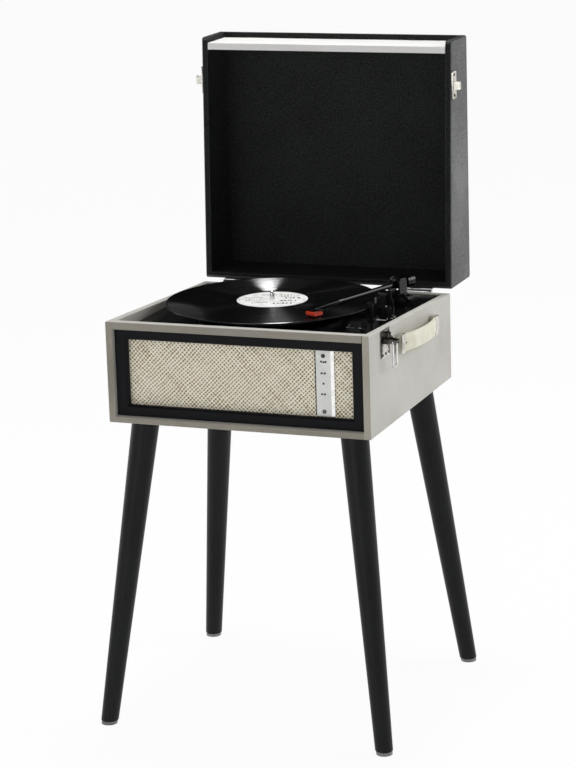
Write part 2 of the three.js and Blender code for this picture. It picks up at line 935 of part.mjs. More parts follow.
// Cueing: a lever beside the base and a curved bar that rises under the tube.
function cueing() {
  const arm = outline(
    [
      [-cueLeverLength, cueLeverWidth],
      [-cueLeverLength, 2 * cueLeverWidth],
      [0, cueLeverWidth],
      [cueLeverWidth, 0],
      [0, -cueLeverWidth],
    ],
    cueLeverWidth / 4,
  );
  const lever = join(
    plainBar(arm, cueLeverThickness, 2),
    rodAlongX(
      cuePinRadius,
      cueLeverThickness + armBaseRadius / 3,
      -armBaseRadius / 6,
      0,
      0,
      12,
    ),
  );
  lever.translate(pivotX + cueLeverOut, pivotY, deckZ + cueLeverHeight);
  const barTop = armHeight - tubeRadius - cueGap;
  const half = cueBarWidth / 2;
  const arc = new THREE.Shape();
  const start = -Math.PI / 2 - cueSweep;
  const end = -Math.PI / 2 + cueSweep / 5;
  arc.absarc(0, 0, cueReach + half, start, end, false);
  arc.absarc(0, 0, cueReach - half, end, start, true);
  arc.closePath();
  const curved = plate(arc, cueBarHeight, 0, 0, barTop - cueBarHeight, 10);
  const rodHeight = barTop - cueBarHeight / 2 - restFootHeight - 2 * cueGap;
  const stem = rod(cueRodRadius, rodHeight, 0, -cueReach, restFootHeight + 2 * cueGap, 12);
  const bar = join(curved, stem).translate(pivotX, pivotY, deckZ);
  return [mesh("cue_lever", lever, "blackPlastic"), mesh("cue_platform", bar, "blackPlastic")];
}

// The arm's group stands on the pivot, with the tube running towards its own front.
function tonearm() {
  const arm = new THREE.Group();
  arm.position.set(pivotX, pivotY, armZ);
  arm.rotation.z = -armTurn;

  const yokeLow = armBaseHeight + seat + running - armHeight;
  const yoke = join(
    rod(yokeRadius, yokeThickness, 0, 0, yokeLow, 28),
    ...[-1, 1].map((hand) =>
      block(
        cheekThickness,
        cheekLength,
        cheekHeight,
        hand * (cheekGap / 2 + cheekThickness / 2),
        0,
        yokeLow + yokeThickness / 2,
      ),
    ),
  );
  const pinLength = cheekGap + 2 * cheekThickness;
  const pinHole = rodAlongX(pivotPinRadius + seat, pinLength + overrun, 0, 0, 0, 12);
  arm.add(mesh("tonearm_gimbal", cut(yoke, pinHole), "blackPlastic"));

  const low = -pivotBlockHeight / 2;
  const tailLength = weightReach + weightLength / 2;
  const tube = join(
    block(pivotBlockWidth, pivotBlockLength, pivotBlockHeight, 0, 0, low),
    rodAlongX(pivotPinRadius, pinLength, 0, 0, 0, 12),
    rodAlongY(tubeRadius, tubeLength + tailLength, 0, (tailLength - tubeLength) / 2, 0, 16),
    rodAlongY(weightRadius, weightLength, 0, weightReach + weightLength / 2, 0, 28),
  );
  arm.add(mesh("tonearm_tube", tube, "blackPlastic"));

  const head = new THREE.Group();
  head.position.set(0, -tubeLength, 0);
  head.rotation.z = -armOffset;
  head.add(headshell(), stylus());
  arm.add(head);
  return arm;
}

// Headshell: a tapering hood with a collar round the tube's end and a finger lift at its right.
function headshell() {
  const w = shellWidth / 2;
  const neck = tubeRadius + shellCollarWall;
  const hood = outline(
    [
      [-neck, 0],
      [-w, -shellLength / 3],
      [-w, -shellLength],
      [w, -shellLength],
      [w, -shellLength / 3],
      [neck, 0],
    ],
    shellCollarWall,
  );
  const body = plate(hood, shellHeight, 0, 0, -shellHeight / 2, 2);
  const collar = rodAlongY(neck, 2 * shellCollar, 0, 0, 0, 16);
  const socket = rodAlongY(
    tubeRadius + seat,
    shellCollar + overrun,
    0,
    shellCollar / 2 + overrun / 2 - seat,
    0,
    16,
  );
  collar.rotateZ(armOffset);
  socket.rotateZ(armOffset);
  const finger = block(
    fingerLift,
    fingerThickness * 3,
    fingerThickness,
    w + fingerLift / 2 - fingerThickness,
    -0.8 * shellLength,
    -shellHeight / 2,
  );
  return mesh("headshell", cut(join(body, collar, finger), socket), "blackPlastic");
}

// Stylus: the red holder under the headshell's front, with its needle over the record.
function stylus() {
  const w = stylusWidth / 2;
  const y = -needleReach;
  const top = -shellHeight / 2 - seat;
  const side = outline(
    [
      [y - stylusLength / 2, top - 0.6 * stylusHeight],
      [y - stylusLength / 3, top - stylusHeight],
      [y + stylusLength / 2, top - stylusHeight],
      [y + stylusLength / 2, top],
      [y - stylusLength / 2, top],
    ],
    needleRadius,
  );
  const holder = plainBar(side, 2 * w, 2);
  const needleTip = recordTopZ + seat - armZ;
  const needle = new THREE.CylinderGeometry(needleRadius, needleRadius / 3, needleLength, 8);
  needle.rotateX(Math.PI / 2).translate(0, y, needleTip + needleLength / 2);
  return mesh("stylus", join(holder, needle), "red");
}

// Arm rest: a post with an open cradle, whose lip stops the tube on the outer side.
function armRest() {
  const shelf = armHeight - tubeRadius - running;
  const half = tubeRadius + restWall;
  const post = rod(restPostRadius, shelf - seat, restX, restY, deckZ + seat, 14);
  const foot = rod(restFootRadius, restFootHeight, restX, restY, deckZ + seat, 20);
  const section = polygon([
    [-half, shelf - restWall],
    [half + running, shelf - restWall],
    [half + running, shelf + restLip],
    [half + running - restWall, shelf + restLip],
    [half + running - restWall, shelf],
    [-half, shelf],
  ]);
  const cradle = upright(section, 2 * restPostRadius, 0, -restPostRadius, deckZ);
  cradle.rotateZ(-restTurn).translate(restX, restY, 0);
  return mesh("arm_rest", join(post, foot, cradle), "blackPlastic");
}

// Knob on a shaft through the deck, and the control that the shaft turns under it.
function volume() {
  const shaftLow = deckZ - deckThickness - potDepth / 2;
  const cap = turned(
    [
      [0, 0],
      [knobRadius, 0],
      [0.94 * knobRadius, 0.85 * knobHeight],
      [0.84 * knobRadius, knobHeight],
      [0, knobHeight],
    ],
    28,
  ).translate(knobX, knobY, deckZ + running);
  const shaft = rod(knobShaftRadius, deckZ + knobHeight / 2 - shaftLow, knobX, knobY, shaftLow, 16);
  const potTop = deckZ - deckThickness - seat;
  const pot = cut(
    rod(potRadius, potDepth, knobX, knobY, potTop - potDepth, 20),
    rod(knobShaftRadius + running, potDepth, knobX, knobY, shaftLow - running, 16),
  );
  return [mesh("volume_knob", join(cap, shaft), "blackPlastic"), mesh("volume_control", pot, "steel")];
}

// Slide switches: a small cap on a stem through its slot.
function switchPieces() {
  return switches.map(([name, x, y]) => {
    const stemLow = deckZ - 2 * deckThickness;
    const cap = plate(
      rectangle(switchWidth, switchLength, switchWidth / 4),
      switchHeight,
      x,
      y,
      deckZ + running,
    );
    const stem = block(
      switchStem,
      switchStem,
      deckZ + switchHeight / 2 - stemLow,
      x,
      y,
      stemLow,
    );
    return mesh(name, join(cap, stem), "blackPlastic");
  });
}

// Circuit board on four standoffs, with its tallest parts.
function circuitBoard() {
  const z = boardTopZ + seat;
  const x = circuitWidth / 2 - 2 * standoffRadius;
  const y = circuitDepth / 2 - 2 * standoffRadius;
  const pieces = corners.map(([, handX, handY]) =>
    rod(standoffRadius, standoff + circuitThickness / 2, handX * x, handY * y, z, 10),
  );
  const parts = [
    block(circuitWidth / 4, circuitDepth / 3, partHeight, -circuitWidth / 5, 0, z + standoff),
    rod(circuitDepth / 10, partHeight, circuitWidth / 6, circuitDepth / 5, z + standoff, 14),
    rod(circuitDepth / 10, partHeight, circuitWidth / 6, -circuitDepth / 5, z + standoff, 14),
    block(circuitWidth / 8, circuitDepth / 5, partHeight / 2, circuitWidth / 3, 0, z + standoff),
  ];
  const board = block(circuitWidth, circuitDepth, circuitThickness, 0, 0, z + standoff);
  return mesh("circuit_board", join(board, ...pieces, ...parts), "circuitGreen");
}

// Jack panel in the rear wall: a plate outside, its body through the wall, two line outputs,
// an input and the power inlet.
function jackPanel() {
  const z = undersideHeight + jackHeight;
  const outerY = rearY + seat;
  const face = upright(
    rectangle(jackPlateWidth, jackPlateHeight, cornerRound),
    jackPlateThickness,
    -jackPlace,
    outerY,
    z,
  );
  const body = block(
    jackBodyWidth,
    jackBodyDepth,
    jackBodyHeight,
    -jackPlace,
    outerY + jackPlateThickness / 2 - jackBodyDepth / 2,
    z - jackBodyHeight / 2,
  );
  const places = [-1.5, -0.5, 0.5, 1.5].map((step) => -jackPlace + step * jackSpacing);
  const reach = outerY + jackPlateThickness + jackReach;
  const sockets = places
    .slice(0, 3)
    .map((x) => rodAlongY(jackRadius, 2 * jackReach, x, reach - jackReach, z, 16));
  const bores = places.map((x, i) =>
    rodAlongY(i < 3 ? jackBore : jackRadius, 2 * jackReach, x, reach, z, 12),
  );
  const inlet = rodAlongY(jackRadius, 2 * jackReach, places[3], outerY + jackPlateThickness, z, 16);
  return mesh("jack_panel", cut(join(face, body, ...sockets), ...bores.slice(0, 3), inlet), "mattBlack");
}

// A latch is built for the right wall, in its own frame: X out of the wall, Z from the rim up.
function latch(name, hand) {
  const group = new THREE.Group();
  const y = frontY + latchFromFront;
  group.position.set((hand * caseWidth) / 2, y, rimZ(y));
  group.rotation.z = hand > 0 ? 0 : Math.PI;

  const backing = plainBar(
    rectangle(latchWidth, latchHeight, cornerRound / 2),
    latchThickness,
    2,
  ).translate(seat + latchThickness / 2, 0, -latchTopGap - latchHeight / 2);
  const ears = [-1, 1].map((side) =>
    block(
      earReach - seat - latchThickness / 2,
      earThickness,
      earHeight,
      (earReach + seat + latchThickness / 2) / 2,
      (side * (earSpan + earThickness)) / 2,
      -earTopGap - earHeight,
    ),
  );
  const pivotHole = rodAlongY(
    leverStubRadius + seat,
    latchWidth,
    leverPivotOut,
    0,
    -leverPivotDrop,
    12,
  );
  group.add(mesh(`latch_base_${name}`, cut(join(backing, ...ears), pivotHole), "chrome"));

  const lever = new THREE.Group();
  lever.position.set(leverPivotOut, 0, -leverPivotDrop);
  lever.rotation.y = -leverOpen;
  lever.add(latchLever(name));
  const loop = new THREE.Group();
  loop.position.set(-loopPivotIn, 0, -loopPivotAlong);
  loop.rotation.y = leverOpen;
  loop.add(latchLoop(name));
  lever.add(loop);
  group.add(lever);
  return group;
}

// The lever in its shut place: two flanges outside the ears, a thumb plate across them, and a
// stub on each flange that turns in its ear.
const flangeIn = earSpan / 2 + earThickness + running;
const flangeOut = flangeIn + leverThickness;

function latchLever(name) {
  const w = leverHalfWidth;
  const side = outline(
    [
      [-w, w],
      [-w, -leverLength],
      [w, -leverLength],
      [w, w],
    ],
    leverThickness,
  );
  const stubIn = earSpan / 2 - running;
  const flanges = [-1, 1].flatMap((hand) => [
    plate(side, leverThickness, 0, 0, 0, 2)
      .rotateX(Math.PI / 2)
      .translate(0, hand > 0 ? flangeOut : -flangeIn, 0),
    rodAlongY(
      leverStubRadius,
      flangeIn + leverThickness / 2 - stubIn,
      0,
      (hand * (flangeIn + leverThickness / 2 + stubIn)) / 2,
      0,
      12,
    ),
  ]);
  const thumb = between(
    w - leverThickness,
    w,
    -flangeOut,
    flangeOut,
    -leverLength,
    -loopPivotAlong + 2 * loopWire,
  );
  const axle = rodAlongY(loopWire + seat, latchWidth, -loopPivotIn, 0, -loopPivotAlong, 10);
  return mesh(`latch_lever_${name}`, cut(join(...flanges, thumb), axle), "chrome");
}

// The wire loop hangs outside the lever, its two ends bent in through the flanges. Its length
// brings its far end down onto the hook when the lever is shut.
const hookRise = keeperFromRim + hookLip / 2;
const loopSide = flangeOut + running + loopWire;
const loopLength =
  leverPivotDrop + loopPivotAlong + seamGap + hookRise + hookThickness + seat + loopWire;

function latchLoop(name) {
  const bars = [-1, 1].flatMap((hand) => [
    rod(loopWire, loopLength + loopWire, 0, hand * loopSide, -loopLength, 10),
    rodAlongY(
      loopWire,
      loopSide + loopWire - flangeIn,
      0,
      (hand * (loopSide + loopWire + flangeIn)) / 2,
      0,
      10,
    ),
  ]);
  const end = rodAlongY(loopWire, 2 * (loopSide + loopWire), 0, 0, -loopLength, 10);
  return mesh(`latch_loop_${name}`, join(...bars, end), "chrome");
}

// Keeper on the lid's side, with a hook that the loop's end drops behind.
function keeper(name, hand, rim) {
  const group = new THREE.Group();
  const y = frontY + latchFromFront - rearY - hingeOut;
  group.position.set((hand * caseWidth) / 2, y, rim(y));
  group.rotation.z = hand > 0 ? 0 : Math.PI;
  const backing = plainBar(
    rectangle(keeperWidth, keeperHeight, cornerRound / 2),
    latchThickness,
    2,
  ).translate(seat + latchThickness / 2, 0, keeperFromRim + keeperHeight / 2);
  const section = polygon([
    [seat + latchThickness / 2, hookRise],
    [hookOut, hookRise],
    [hookOut, hookRise + hookLip],
    [hookOut - hookThickness, hookRise + hookLip],
    [hookOut - hookThickness, hookRise + hookThickness],
    [seat + latchThickness / 2, hookRise + hookThickness],
  ]);
  const hook = plate(section, hookWidth).rotateX(Math.PI / 2).translate(0, hookWidth / 2, 0);
  group.add(mesh(`latch_keeper_${name}`, join(backing, hook), "chrome"));
  return group;
}

// Handle: a strap bowed out from the right side, each end tucked into a metal cap.
function handle() {
  const group = new THREE.Group();
  group.position.set(caseWidth / 2, handlePlace, rimZ(handlePlace) - handleDrop);
  group.rotation.x = -Math.atan2(frontRimZ - rearRimZ, caseDepth);
  const end = handleSpan / 2 - capLength + strapTuck;
  const curve = new THREE.CubicBezierCurve3(
    new THREE.Vector3(strapEndOut, -end, 0),
    new THREE.Vector3(strapEndOut + (4 / 3) * strapBow, -end / 2, 0),
    new THREE.Vector3(strapEndOut + (4 / 3) * strapBow, end / 2, 0),
    new THREE.Vector3(strapEndOut, end, 0),
  );
  const strap = new THREE.ExtrudeGeometry(
    rectangle(strapWidth, strapThickness, strapThickness / 3),
    { steps: 18, extrudePath: curve, curveSegments: 1 },
  );
  group.add(mesh("handle_strap", strap, "cream"));
  const pocket = new THREE.ExtrudeGeometry(
    rectangle(strapWidth + 2 * seat, strapThickness + 2 * seat, strapThickness / 3),
    { steps: 18, extrudePath: curve, curveSegments: 1 },
  );
  for (const [name, side] of [["front", -1], ["rear", 1]]) {
    const cap = plate(rectangle(capOut - seat, capWidth, capWall), capLength, 0, 0, 0, 2)
      .rotateX(Math.PI / 2)
      .translate(seat + (capOut - seat) / 2, (side * handleSpan) / 2 + (side > 0 ? 0 : capLength), 0);
    group.add(mesh(`handle_cap_${name}`, cut(cap, pocket), "chrome"));
  }
  return group;
}

// Hinge leaves round the pin: two outer knuckles on the case's leaf, one on the lid's.
const knuckleRadius = hingeOut - seat - hingeThickness / 2;
const knuckle = hingeWidth / 3;

function hingeLeafPlate(up) {
  const low = up ? seat : -hingeLeaf;
  const high = up ? hingeLeaf : 0;
  return between(
    -hingeWidth / 2,
    hingeWidth / 2,
    seat - hingeOut,
    seat - hingeOut + hingeThickness,
    low,
    high,
  );
}

function lowerLeaf() {
  const clear = rodAlongX(knuckleRadius + 2 * running, knuckle + 2 * seat, 0, 0, 0, 20);
  const leaf = cut(hingeLeafPlate(false), clear);
  const knuckles = [-1, 1].map((hand) =>
    rodAlongX(knuckleRadius, knuckle - seat, (hand * (hingeWidth + knuckle + 2 * seat)) / 4, 0, 0, 20),
  );
  return join(leaf, ...knuckles, rodAlongX(hingePinRadius, hingeWidth, 0, 0, 0, 12));
}

function upperLeaf() {
  const clears = [-1, 1].map((hand) =>
    rodAlongX(
      knuckleRadius + 2 * running,
      knuckle + 2 * seat,
      (hand * (hingeWidth + knuckle)) / 4,
      0,
      0,
      20,
    ),
  );
  const leaf = join(
    cut(hingeLeafPlate(true), ...clears),
    rodAlongX(knuckleRadius, knuckle - seat, 0, 0, 0, 20),
  );
  return cut(leaf, rodAlongX(hingePinRadius + seat, hingeWidth, 0, 0, 0, 12));
}

// Lid: built shut in a frame whose origin is the hinge pin, then turned open.
const pinY = rearY + hingeOut;
const pinZ = rearRimZ - hingeDrop;

function lid() {
  const group = new THREE.Group();
  group.position.set(0, pinY, pinZ);
  group.rotation.x = -lidOpen;
  const front = frontY - pinY;
  const rear = rearY - pinY;
  const rim = (y) => rimZ(y + pinY) + seamGap - pinZ;
  const top = rim(front) + lidFrontDepth;
  const side = [
    [front, rim(front)],
    [rear, rim(rear)],
    [rear, top],
    [front, top],
  ];
  const box = bar(outline(side, cornerRound), caseWidth, edgeRound);
  const hollow = between(
    lidWall - caseWidth / 2,
    caseWidth / 2 - lidWall,
    front - overrun,
    rear - lidWall,
    -lidFrontDepth,
    top - lidPanel,
  );
  group.add(mesh("lid_shell", cut(box, hollow), "blackLeather"));

  const boardY = front + boardRecess;
  const boardBack = boardY + boardThickness;
  const boardSide = polygon([
    [boardY, rim(boardY)],
    [boardBack, rim(boardBack)],
    [boardBack, top - lidPanel - seat],
    [boardY, top - lidPanel - seat],
  ]);
  const boardLength = caseWidth - 2 * lidWall - 2 * seat;
  group.add(mesh("lid_front_board", plainBar(boardSide, boardLength), "paleBoard"));
  group.add(keeper("left", -1, rim), keeper("right", 1, rim));
  for (const [name, hand] of [["left", -1], ["right", 1]]) {
    const leaf = mesh(`hinge_upper_leaf_${name}`, upperLeaf(), "chrome");
    leaf.position.x = hand * hingeSpread;
    group.add(leaf);
  }
  return group;
}

function lowerLeaves() {
  return [["left", -1], ["right", 1]].map(([name, hand]) => {
    const leaf = mesh(`hinge_lower_leaf_${name}`, lowerLeaf(), "chrome");
    leaf.position.set(hand * hingeSpread, pinY, pinZ);
    return leaf;
  });
}

const player = new THREE.Group();
player.add(
  caseShell(),
  bottomBoard(),
  ...corners.flatMap(([name, handX, handY]) => legPieces(name, handX, handY)),
  ...speakerFront(),
  controlPlate(),
  deckPlate(),
  spindle(),
  ...turntable(),
  ...drive(),
  tonearmBase(),
  ...cueing(),
  tonearm(),
  armRest(),
  ...volume(),
  ...switchPieces(),
  circuitBoard(),
  jackPanel(),
  latch("left", -1),
  latch("right", 1),
  handle(),
  ...lowerLeaves(),
  lid(),
);

// The origin is on the floor, under the middle of the whole with its lid open.
const reach = new THREE.Box3().setFromObject(player);
const middle = reach.getCenter(new THREE.Vector3());
player.position.set(-middle.x, -middle.y, -reach.min.z);

const part = new THREE.Group();
part.add(player);

export default part;
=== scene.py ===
import math
import random

import bmesh
import bpy
from mathutils import Matrix, Vector


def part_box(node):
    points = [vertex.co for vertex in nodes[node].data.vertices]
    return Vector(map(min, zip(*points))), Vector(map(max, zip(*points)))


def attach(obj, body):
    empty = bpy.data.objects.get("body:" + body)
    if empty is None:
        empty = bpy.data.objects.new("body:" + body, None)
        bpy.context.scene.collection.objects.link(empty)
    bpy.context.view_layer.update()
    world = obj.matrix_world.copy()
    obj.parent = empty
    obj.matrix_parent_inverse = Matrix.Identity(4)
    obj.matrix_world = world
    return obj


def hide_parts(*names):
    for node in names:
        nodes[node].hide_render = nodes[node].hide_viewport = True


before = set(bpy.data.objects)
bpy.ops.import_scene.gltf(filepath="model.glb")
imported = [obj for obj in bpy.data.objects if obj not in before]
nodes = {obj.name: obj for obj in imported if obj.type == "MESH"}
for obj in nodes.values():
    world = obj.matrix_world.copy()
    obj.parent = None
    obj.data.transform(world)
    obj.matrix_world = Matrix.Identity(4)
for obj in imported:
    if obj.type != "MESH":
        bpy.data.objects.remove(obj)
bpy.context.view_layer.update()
bpy.ops.object.select_all(action="DESELECT")


# Studio: a pale floor that runs into a white backdrop, a soft lamp overhead, one from the right
# and behind, and weak ones at the front and the left. Shiny pieces mirror a white room with a
# dark ceiling and a dark flag behind the set. The camera stands right of and above the case.
def paint(red, green, blue):
    """A colour from its values on a screen, 0 to 255."""
    shares = [value / 255 for value in (red, green, blue)]
    linear = [s / 12.92 if s <= 0.04045 else ((s + 0.055) / 1.055) ** 2.4 for s in shares]
    return (*linear, 1.0)


class Amount:
    """A number that varies over a surface, so that sums with it can be written out."""

    def __init__(self, socket):
        self.socket = socket

    def __add__(self, other):
        return figure("ADD", self, other)

    def __sub__(self, other):
        return figure("SUBTRACT", self, other)

    def __rsub__(self, other):
        return figure("SUBTRACT", other, self)

    def __mul__(self, other):
        return figure("MULTIPLY", self, other)

    def __pow__(self, other):
        return figure("POWER", self, other)


def feed(socket, value):
    """Gives a socket a plain value, or links another socket to it."""
    if isinstance(value, Amount):
        value = value.socket
    if isinstance(value, bpy.types.NodeSocket):
        socket.id_data.links.new(value, socket)
    else:
        socket.default_value = value


def added(tree, kind, inputs, **settings):
    """A new node, with its settings, and its sockets fed by name or number."""
    node = tree.nodes.new("ShaderNode" + kind)
    for name, value in settings.items():
        setattr(node, name, value)
    for name, value in inputs.items():
        feed(node.inputs[name], value)
    return node


def number_from(tree, kind, inputs, output=0, **settings):
    """The number that a new node gives."""
    return Amount(added(tree, kind, inputs, **settings).outputs[output])


def figure(operation, *values):
    """A number worked out from others at each point of a surface."""
    tree = next(value.socket.id_data for value in values if isinstance(value, Amount))
    return number_from(tree, "Math", dict(enumerate(values)), operation=operation)


def fade(value, near, far, least):
    """Falls smoothly from 1 to a least share as a direction goes from near to far."""
    ends = {"Value": value, "From Min": near, "From Max": far, "To Min": 1.0, "To Max": least}
    return number_from(sky, "MapRange", ends, interpolation_type="SMOOTHSTEP")


def new_finish(name):
    """A material and its nodes."""
    finish = bpy.data.materials.new(name)
    finish.use_nodes = True
    return finish, finish.node_tree


def stock(name, primitive, stretch=None, **sizes):
    """A primitive to start a piece from, with its size and place put into its mesh."""
    bpy.ops.object.select_all(action="DESELECT")
    primitive(**sizes)
    piece = bpy.context.object
    piece.name = name
    if stretch is not None:
        piece.scale = stretch
    bpy.ops.object.transform_apply(location=True, rotation=True, scale=True)
    return piece


white = (1.0, 1.0, 1.0, 1.0)
studio = bpy.data.worlds.new("studio")
bpy.context.scene.world = studio
studio.use_nodes = True
sky = studio.node_tree
split = added(sky, "SeparateXYZ", {0: added(sky, "TexCoord", {}).outputs["Generated"]}).outputs
ceiling = fade(split["Z"], 0.06, 0.27, 0.03)
flag = fade(split["Y"], 0.55, 0.85, 0.12)
ambient, backdrop, mirrored = (
    added(sky, "Background", {"Color": white, "Strength": strength}).outputs[0]
    for strength in (0.42, 1.0, ceiling * flag)
)
rays = added(sky, "LightPath", {}).outputs
reflected = added(sky, "MixShader", {0: rays["Is Glossy Ray"], 1: ambient, 2: mirrored}).outputs[0]
seen = figure("MAXIMUM", Amount(rays["Is Camera Ray"]), rays["Is Transmission Ray"])
either = added(sky, "MixShader", {0: seen, 1: reflected, 2: backdrop}).outputs[0]
feed(sky.nodes["World Output"].inputs["Surface"], either)

floor = stock("floor", bpy.ops.mesh.primitive_plane_add, size=40, location=(0, 2, 0))
floor_white, tree = new_finish("floor_white")
surface = tree.nodes["Principled BSDF"]
surface.inputs["Base Color"].default_value = paint(240, 240, 240)
surface.inputs["Roughness"].default_value = 0.9
surface.inputs["Specular IOR Level"].default_value = 0.1
glow = added(tree, "Emission", {"Color": white}).outputs[0]
rays = added(tree, "LightPath", {}).outputs
share = figure("MAXIMUM", Amount(rays["Is Camera Ray"]), rays["Is Glossy Ray"]) * 0.94
either = added(tree, "MixShader", {0: share, 1: surface.outputs[0], 2: glow}).outputs[0]
feed(tree.nodes["Material Output"].inputs["Surface"], either)
floor.data.materials.append(floor_white)


def soft_lamp(name, place, aim_height, width, height, watts):
    """A large soft lamp, turned to face a point on the middle line of the set."""
    bpy.ops.object.light_add(type="AREA", location=place)
    lamp = bpy.context.object
    lamp.name = name
    lamp.data.shape = "RECTANGLE"
    lamp.data.size = width
    lamp.data.size_y = height
    lamp.data.energy = watts
    beam = Vector((0, 0, aim_height)) - Vector(place)
    lamp.rotation_euler = beam.to_track_quat("-Z", "Y").to_euler()


soft_lamp("overhead_lamp", (-0.1, 0.45, 2.8), 0.5, 0.38, 0.6, 30)
soft_lamp("right_rear_lamp", (2.5, 1.6, 1.7), 0.55, 1.5, 1.5, 47)
soft_lamp("front_lamp", (-0.6, -3.6, 1.2), 0.5, 1.6, 1.6, 19)
soft_lamp("left_lamp", (-2.6, 0.3, 1.0), 0.5, 0.35, 1.5, 11)

eye = Vector((1.36109, -3.51459, 1.39878))
right = Vector((0.93318361, 0.35806301, -0.03097156))
up = Vector((-0.05883937, 0.23722136, 0.96967209))
ahead = Vector((-0.35455082, 0.90305975, -0.24243928))
bpy.ops.object.camera_add(location=eye)
camera = bpy.context.object
camera.rotation_euler = Matrix((right, up, -ahead)).transposed().to_euler()
camera.data.sensor_width = 36
camera.data.lens = 127.96
camera.data.shift_x = 0.0097
camera.data.shift_y = -0.0050
camera.data.clip_end = 60
bpy.context.scene.camera = camera
bpy.context.scene.view_settings.view_transform = "Standard"


# Case covering: a box of board, higher at the front than at the rear, wrapped in greige
# leatherette. The covering is glued over the rim and butted at the corners of the front.
def only(piece):
    """Leaves one piece selected and active."""
    bpy.ops.object.select_all(action="DESELECT")
    piece.select_set(True)
    bpy.context.view_layer.objects.active = piece


def open_up(piece, kind="verts", action="DESELECT"):
    """Opens a piece for shaping by its points, edges or faces, with none or all selected."""
    only(piece)
    bpy.ops.object.mode_set(mode="EDIT")
    bpy.ops.mesh.select_mode(type={"verts": "VERT", "edges": "EDGE", "faces": "FACE"}[kind])
    bpy.ops.mesh.select_all(action=action)


def close_up():
    """Ends the shaping of a piece."""
    bpy.ops.object.mode_set(mode="OBJECT")


def work(piece, kind, test, operator, **how):
    """Works on the points, edges or faces whose middle, and normal or direction, pass a test."""
    open_up(piece, kind)
    mesh = bmesh.from_edit_mesh(piece.data)
    for element in getattr(mesh, kind):
        if kind == "faces":
            chosen = test(element.calc_center_median(), element.normal)
        elif kind == "edges":
            first, second = (v.co for v in element.verts)
            chosen = test((first + second) / 2, (second - first).normalized())
        else:
            chosen = test(element.co, element.normal)
        if chosen:
            element.select_set(True)
    bmesh.update_edit_mesh(piece.data)
    operator(**how)
    close_up()


def block_between(name, low, high):
    """A block between two corners."""
    low, high = Vector(low), Vector(high)
    cube = bpy.ops.mesh.primitive_cube_add
    return stock(name, cube, stretch=high - low, size=1, location=(low + high) / 2)


def shaped(piece, kind, **settings):
    """Puts a modifier on a piece and applies it."""
    only(piece)
    modifier = piece.modifiers.new(kind.lower(), kind)
    for name, value in settings.items():
        setattr(modifier, name, value)
    bpy.ops.object.modifier_apply(modifier=modifier.name)
    return piece


def cut_out(piece, *cutters):
    """Cuts the shapes of some cutters out of a piece and throws the cutters away."""
    for cutter in cutters:
        shaped(piece, "BOOLEAN", operation="DIFFERENCE", solver="EXACT", object=cutter)
        bpy.data.objects.remove(cutter)


def ease_edges(piece, width, segments, angle=35):
    """Rounds every edge sharper than an angle, and shades the piece smooth."""
    only(piece)
    bpy.ops.object.shade_smooth()
    limit = {"limit_method": "ANGLE", "angle_limit": math.radians(angle)}
    return shaped(piece, "BEVEL", width=width, segments=segments, harden_normals=True, **limit)


def surface_place(tree, stretch=(1, 1, 1), turn=(0, 0, 0), shift=(0, 0, 0)):
    """A point's place on the object, scaled, turned and shifted for a pattern."""
    place = added(tree, "TexCoord", {}).outputs["Object"]
    moves = {"Vector": place, "Location": shift, "Rotation": turn, "Scale": stretch}
    return added(tree, "Mapping", moves).outputs["Vector"]


def place_parts(tree, **moves):
    """The X, Y and Z of a point on the object."""
    split = added(tree, "SeparateXYZ", {0: surface_place(tree, **moves)})
    return [Amount(part) for part in split.outputs]


def mottle(tree, scale, detail=3.0, **moves):
    """Soft random light and dark over the surface, so many to the metre."""
    place = surface_place(tree, **moves)
    return number_from(tree, "TexNoise", {"Scale": scale, "Detail": detail, "Vector": place})


def pebbles(tree, scale):
    """Small rounded cells, as in embossed leather."""
    inputs = {"Scale": scale, "Smoothness": 0.4, "Vector": surface_place(tree)}
    return number_from(tree, "TexVoronoi", inputs, "Distance", feature="SMOOTH_F1")


def shades(factor, *stops):
    """Colours picked along a scale by a number; each stop is (place, screen colour)."""
    ramp = added(factor.socket.id_data, "ValToRGB", {"Fac": factor})
    points = ramp.color_ramp.elements
    while len(points) < len(stops):
        points.new(0.5)
    for point, (place, colour) in zip(points, stops):
        point.position = place
        point.color = paint(*colour)
    return ramp.outputs["Color"]


def between_values(factor, low, high):
    """A number between two others, by a factor from 0 to 1."""
    ends = {"Value": factor, "To Min": low, "To Max": high}
    return number_from(factor.socket.id_data, "MapRange", ends)


def blended(factor, first, second):
    """One colour laid over another by a factor from 0 to 1."""
    layers = {"Factor": factor, 6: first, 7: second}
    return added(factor.socket.id_data, "Mix", layers, data_type="RGBA").outputs[2]


def coat(finish, colour, roughness, height, depth, **others):
    """Feeds a finish its colour, roughness, relief so many metres deep, and other looks."""
    nodes_of = finish.node_tree
    bump = added(nodes_of, "Bump", {"Height": height, "Distance": depth, "Strength": 1.0})
    looks = {"Base Color": colour, "Roughness": roughness, "Normal": bump.outputs[0], **others}
    for name, value in looks.items():
        feed(nodes_of.nodes["Principled BSDF"].inputs[name], value)
    return finish


case_low, case_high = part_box("case_shell")
side_x = case_high.x
front_y = case_low.y
rear_y = case_high.y
underside = case_low.z
front_rim = 0.5792
rear_rim = 0.5616
side_wall = 0.010
front_rail = 0.016
top_rail = 0.0105
bottom_rail = 0.009
jack_rim = (0.0087, 0.0067)
through = 0.01
hair = 1e-4


